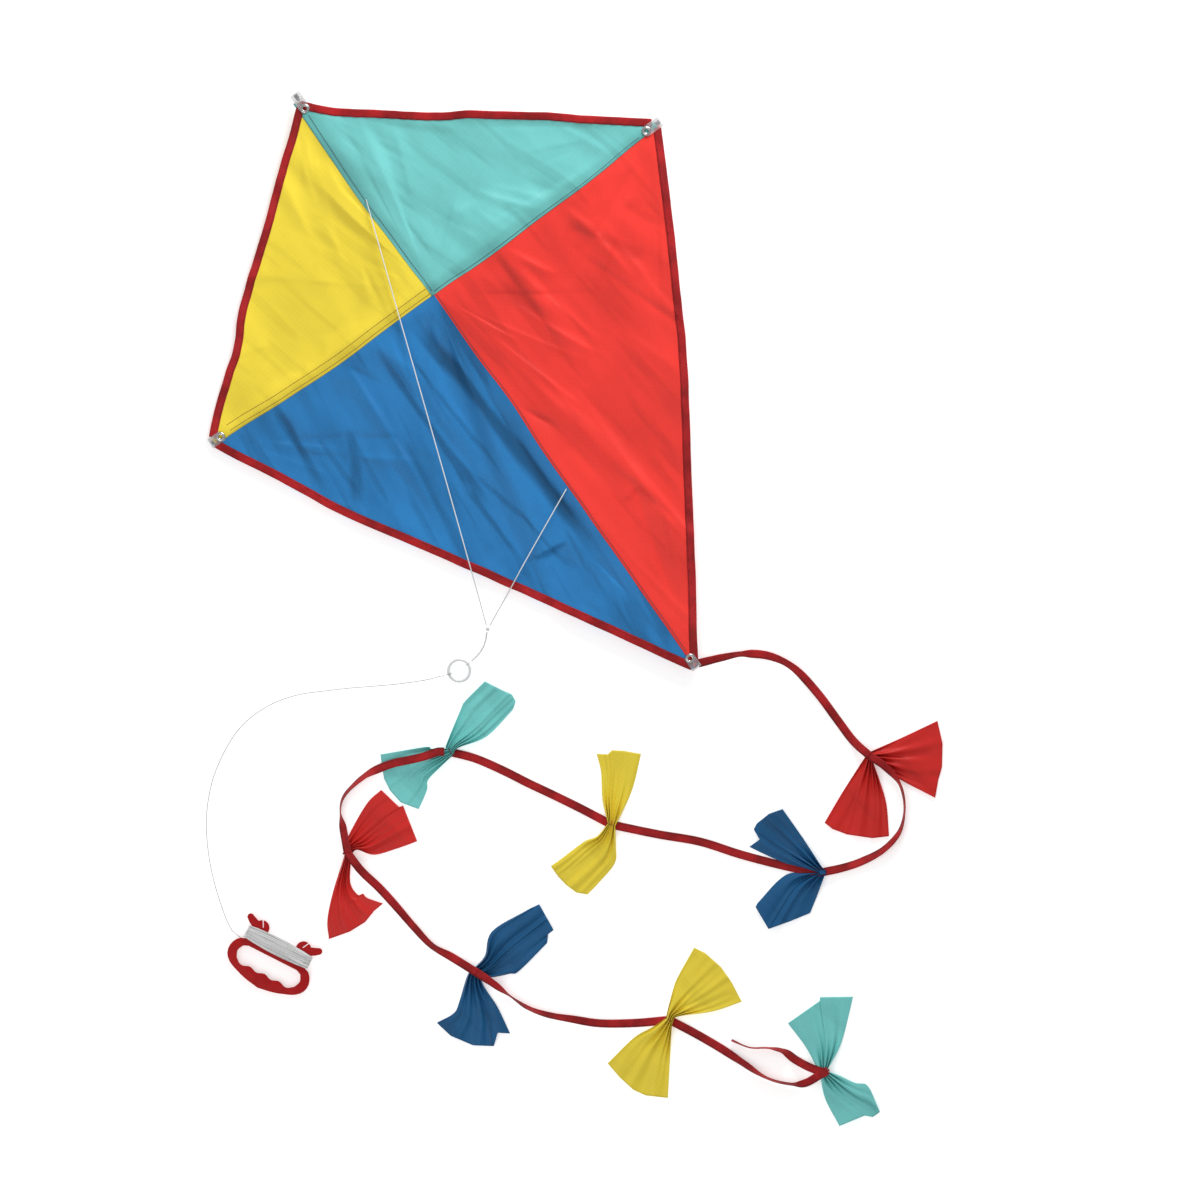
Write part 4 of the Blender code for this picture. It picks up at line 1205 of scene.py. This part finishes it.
def make_strip(number, body, points, first, last, rolls):
    name = "ribbon_strip_%d" % number
    flat = smooth_through([Vector(p) * MM for p in points], 8)
    total = length_of(flat)
    half = RIBBON_WIDTH / 2

    def centre(share):
        spot = point_on(flat, share)
        roll = math.radians(between(rolls, share))
        lift = strip_height(share, total / MM, first, last)
        stand = half * abs(math.sin(roll)) + 0.3
        wave = 0.5 * abs(noise.noise(Vector((spot.x * 60, spot.y * 60, number))))
        return Vector((spot.x, spot.y, (max(lift, stand) + wave) * MM)), roll

    def place(u, v):
        spot, roll = centre(v)
        ahead = (point_on(flat, v + 0.004) - point_on(flat, v - 0.004)).to_2d().normalized()
        side = Vector((-ahead.y, ahead.x, 0))
        across, out = RIBBON_SECTION[round(u * (len(RIBBON_SECTION) - 1))]
        wide = (side * math.cos(roll) + Vector((0, 0, math.sin(roll)))) * across * half
        thick = (Vector((0, 0, math.cos(roll))) - side * math.sin(roll)) * out
        return spot + (wide + thick) * MM

    steps = max(40, int(total / 0.0022))
    shell = mapped_grid(len(RIBBON_SECTION) - 1, steps, place, (1.0, total), loop=True, caps=True)
    strip = new_piece(name, shell, RIBBON, body)
    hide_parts("tail_ribbon_%d" % number)
    path = [tuple(centre(step / steps)[0]) for step in range(steps + 1)]
    length_of([Vector(p) for p in path])
    "bare" if number == len(STRIPS) else "object"
    print(name, round(total, 3), "m")
    return strip


def flat_section(steps, thickness):
    """A flat closed section, -1 to 1 across, that is thinner at its woven edges."""
    top = [(-1 + 2 * i / steps, thickness / 2 * (0.6 if i in (0, steps) else 1.0))
           for i in range(steps + 1)]
    under = [(across, -out) for across, out in reversed(top)]
    return [*top, *under, top[0]]


RIBBON_SECTION = flat_section(4, RIBBON_THICKNESS)
for number, strip in enumerate(STRIPS, 1):
    make_strip(number, *strip)
refinish(RIBBON, "tail_tab", "tail_end_knot")

# %% [markdown]
# The bows
# --------
# Each bow is a rectangle of nylon, gathered across its middle. Where it is gathered, its
# whole width is folded into pleats a few millimetres wide, and they open towards the two
# hems. So a bow is one grid: across it runs the cloth's width and along it the length,
# from one hem through the waist to the other. Each wing has a side, a hem and a side, and
# every point lies between them. The depth of the pleats is what the cloth's width leaves.

# %% Bows
BOW_CLOTH = 70.0
PLEATS = 5
WAIST = 8.0
BOWS = (
    # colour, waist, height of the waist, two wings: side, hem, side, folds, knife folds
    ("red", (93, -644), 3.8,
     (((129, -647),), ((170, -654), (161, -676), (147, -695), (136, -704), (123, -717)),
      ((104, -680),), ((0.3, 1.6, 0.07), (0.62, 2.2, 0.09), (0.85, -1.0, 0.05)), ()),
     (((49, -658),), ((16, -673), (19, -683), (28, -696), (47, -714), (62, -722)),
      ((78, -695), (86, -673)), ((0.3, -1.2, 0.06), (0.55, 2.4, 0.08), (0.8, 1.4, 0.06)), ())),
    ("blue", (-15, -713), 4.8,
     (((-12, -705), (-11, -675)), ((-11, -637), (-25, -633), (-41, -634), (-47, -637), (-48, -649),
                                  (-61, -649)), ((-48, -672), (-36, -690)),
      ((0.25, 2.2, 0.1), (0.5, -2.4, 0.05)), ((0.66, 0.13, 2.4),)),
     (((-46, -694), (-83, -700)), ((-91, -703), (-92, -716), (-93, -729), (-71, -735),
      (-49, -740)),
      ((-35, -731),), ((0.2, 1.2, 0.08), (0.52, 2.6, 0.06)), ((0.40, 0.10, 1.8),))),
    ("yellow", (-163, -550), 4.6,
     (((-156, -524), (-141, -500)), ((-134, -482), (-125, -489), (-119, -488), (-109, -496),
      (-97, -508)),
      ((-123, -531), (-147, -546)), ((0.3, 1.4, 0.05), (0.55, 1.8, 0.05), (0.8, 1.4, 0.05)), ()),
     (((-182, -551), (-196, -548), (-224, -549)), ((-238, -549), (-238, -562), (-236, -574),
      (-232, -586),
                                      (-224, -594)), ((-208, -591), (-183, -584), (-173, -572)),
      ((0.35, -1.6, 0.07), (0.6, 2.8, 0.08), (0.82, 1.2, 0.06)), ())),
    ("teal", (-255, -395), 4.6,
     (((-246, -396), (-216, -403)), ((-178, -396), (-171, -391), (-170, -383), (-177, -371),
      (-185, -356)),
      ((-213, -361), (-221, -365), (-255, -387)), ((0.38, 2.6, 0.06), (0.7, 1.6, 0.1)), ()),
     (((-269, -381), (-273, -376)), ((-315, -356), (-320, -366), (-326, -378), (-328, -392),
                                     (-326, -408), (-315, -424)),
      ((-297, -413), (-290, -405), (-269, -401)), ((0.45, 1.6, 0.06), (0.65, -1.4, 0.05),
       (0.8, 2.2, 0.05)),
      ())),
    ("red", (-400, -419), 4.4,
     (((-390, -422), (-379, -436), (-357, -444)), ((-335, -450), (-326, -412), (-330, -411),
      (-335, -386)),
      ((-355, -389), (-387, -404)), ((0.3, 2.4, 0.09), (0.62, 1.6, 0.06)), ()),
     (((-405, -420), (-435, -443), (-456, -463)), ((-466, -480), (-444, -486), (-426, -487),
                                                  (-412, -483), (-400, -482)),
      ((-410, -468), (-411, -462), (-416, -460), (-415, -445)), ((0.35, 2.2, 0.07),
       (0.7, 1.6, 0.06)), ())),
    ("blue", (-362, -595), 3.2,
     (((-360, -589), (-345, -585), (-325, -569)), ((-282, -572), (-270, -574), (-273, -604),
      (-280, -604),
                                      (-286, -611)), ((-326, -618), (-335, -615), (-353, -607)),
      ((0.3, 2.2, 0.09), (0.42, -3.2, 0.045)), ((0.52, 0.10, 2.4),)),
     (((-371, -591), (-393, -608), (-405, -615)), ((-425, -613), (-421, -632), (-408, -653),
                                                   (-391, -666), (-380, -657), (-370, -665)),
      ((-365, -635), (-364, -610)), ((0.28, 2.6, 0.05), (0.55, 2.4, 0.05), (0.63, -1.8, 0.04)),
       ((0.70, 0.10, 2.4),))),
    ("yellow", (-229, -747), 4.6,
     (((-225, -738), (-206, -722), (-195, -715)), ((-166, -701), (-160, -712), (-155, -733),
      (-155, -752),
                                      (-158, -774)), ((-188, -765), (-220, -749)),
      ((0.35, 1.2, 0.05), (0.6, 2.2, 0.06), (0.85, -1.2, 0.08)), ()),
     (((-248, -743), (-269, -741)), ((-306, -747), (-304, -766), (-300, -784), (-293, -796),
      (-276, -811)),
      ((-235, -759),), ((0.45, 2.4, 0.07), (0.8, 1.4, 0.06)), ())),
    ("teal", (-131, -881), 4.0,
     (((-131, -850),), ((-132, -819), (-112, -819), (-92, -819), (-90, -816), (-62, -835)),
      ((-98, -866),), ((0.3, 2.0, 0.08), (0.7, 1.2, 0.06)), ((0.52, 0.06, 1.8),)),
     (((-145, -904),), ((-149, -935), (-122, -941), (-116, -947), (-107, -947), (-102, -923)),
      ((-103, -915), (-111, -908), (-119, -894)), ((0.3, 1.4, 0.06),), ((0.66, 0.14, 2.2),))),
)


def ordered(knot, wing):
    """A wing as left side, hem and right side, each side outwards from the waist."""
    side, hem, other, folds, knives = wing
    side, hem = [Vector(p) for p in side], [Vector(p) for p in hem]
    other = [Vector(p) for p in reversed(other)]
    middle, first = hem[len(hem) // 2] - knot, hem[0] - knot
    if middle.x * first.y - middle.y * first.x >= 0:
        return side, hem, other, folds, knives
    return (other, hem[::-1], side, [(1 - at, *rest) for at, *rest in folds],
            [(1 - at, -back, high) for at, back, high in knives])


def knife(share, knives):
    """Where a place across the cloth comes to lie when it is folded back on itself."""
    lift = 0.0
    for at, back, high in knives:
        if back < 0:
            share, at = 1 - share, 1 - at
        over = abs(back)
        whole = 1 + 2 * over
        first, second = (at + over) / whole, (at + 2 * over) / whole
        if share <= first:
            place = share * whole
        elif share <= second:
            place = at + over - (share - first) * whole
            lift += high * (share - first) / (second - first)
        else:
            place = at + (share - second) * whole
            lift += high * (1 - smoothstep(place, at, 1.1))
        share = 1 - place if back < 0 else place
    return share, lift


def make_bow(number, colour, knot, waist_height, *wings):
    knot = Vector(knot)
    wings = [ordered(knot, wing) for wing in wings]
    headings = [(hem[len(hem) // 2] - knot).normalized() for _, hem, _, _, _ in wings]
    axis = (headings[0] - headings[1]).normalized()
    cross = Vector((-axis.y, axis.x)) * WAIST / 2
    shapes = []
    for (left, hem, right, folds, knives), way in zip(wings, (1, -1)):
        left_line = smooth_through([knot + cross * way, *left, hem[0]], 6)
        right_line = smooth_through([knot - cross * way, *right, hem[-1]], 6)
        shapes.append((left_line, [p.to_3d() for p in hem], right_line, folds, knives))

    def place(u, v):
        out = abs(2 * v - 1)
        left, hem, right, folds, knives = shapes[0 if v >= 0.5 else 1]
        at, lift = knife(u if v >= 0.5 else 1 - u, knives)
        one, two = point_on(left, out), point_on(right, out)
        bulge = point_on(hem, at) - hem[0].lerp(hem[-1], at)
        spot = one.lerp(two, at) + bulge * out ** 1.6
        pleat, plain = BOW_CLOTH / (2 * PLEATS), (two - one).length / (2 * PLEATS)
        depth = 0.42 * math.sqrt(max(0.0, pleat * pleat - plain * plain))
        depth *= 1 - 0.80 * smoothstep(out, 0.08, 0.62)
        low = waist_height + (1.0 - waist_height) * smoothstep(out, 0.0, 0.55)
        swing = (PLEATS * u + 0.42 * math.sin(5.3 * u + 2 * number)
                 + 0.16 * math.sin(13 * u + number))
        high = max(low, depth + 0.4) + depth * math.sin(TAU * swing)
        grown = smoothstep(out, 0.08, 0.42) * (1 - 0.4 * out)
        for where, height, width in folds:
            high += height * grown * math.exp(-((at - where) / width) ** 2)
        fine = noise.noise(Vector((at * 8, out * 2.0, number * 3.7)))
        broad = noise.noise(Vector((at * 2.4, out * 2.4, number * 5.1)))
        high += (0.9 * fine + 1.4 * broad) * smoothstep(out, 0.05, 0.5) + lift * min(1.0, out * 3)
        return Vector((spot.x, spot.y, max(0.25, high))) * MM

    shell = mapped_grid(84, 92, place)
    face_up(shell)
    area = sum(face.calc_area() for face in shell.faces)
    body = "tail_upper" if number < 3 else "tail_lower"
    bow = new_piece("bow_%d_cloth" % number, shell, BOW_FINISH[colour], body)
    thicken(bow, CLOTH_THICKNESS)
    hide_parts("bow_%d" % number)
    colour + "_nylon"
    ties = make_ties(number, knot * MM, axis, waist_height, body)
    "ribbon_strip_%d" % number
    print(bow.name, round(area * 1e6), "mm2 of", round(BOW_FLAT[0] * BOW_FLAT[1] * 1e6))
    return bow


# %% [markdown]
# Most bows' waists are held in one of two ways. On some a thread crosses the gathered
# cloth, and on others a short wrap is folded round it. The ribbon lies over bow 6, which
# has neither.

# %% Thread and wraps
# The cut of each bow is an assumption, not a measured size. The pleats are worked
# out from wider cloth, BOW_CLOTH, and most of the hems are wider than this too.
BOW_FLAT = (0.062, 0.150)
WRAPS = {1: (4.4, 3.6, 5.0), 2: (4.2, 3.6, 4.0), 5: (4.4, 4.2, 5.5), 8: (6.6, 3.9, 8.0)}
TOPS = {3: 3.3, 4: 3.3, 7: 3.3}


def make_ties(number, knot, axis, waist_height, body):
    cross = Vector((-axis.y, axis.x))
    middle = Vector((knot.x, knot.y, waist_height * MM))
    if number in TOPS:
        line = [middle + cross.to_3d() * 4.6 * MM * share
                + Vector((0, 0, (TOPS[number] - 2.0 * share * share) * MM))
                for share in [step / 8 - 1 for step in range(17)]]
        return [curve_piece("bow_%d_thread" % number, line, 0.5 * MM, STITCH_RED, body, 2)]
    if number not in WRAPS:
        return []
    wide, high, long = WRAPS[number]

    def place(v, turn):
        angle = TAU * turn
        pinch = 1 - 0.10 * math.sin(math.pi * v) + 0.05 * math.sin(5 * angle + v * 9)
        flat = cross.to_3d() * math.cos(angle) * wide * pinch
        rise = Vector((0, 0, math.sin(angle) * high * pinch))
        return middle + (flat + rise + axis.to_3d() * (v - 0.5) * long) * MM

    shell = mapped_grid(28, 8, place, (1.0, 0.03), loop=True)
    finish = BOW_FINISH["blue"] if number == 2 else RIBBON
    wrap = new_piece("bow_%d_wrap" % number, shell, finish, body)
    thicken(wrap, 0.3 * MM, offset=-1.0)
    return [wrap]


for number, bow in enumerate(BOWS, 1):
    make_bow(number, *bow)
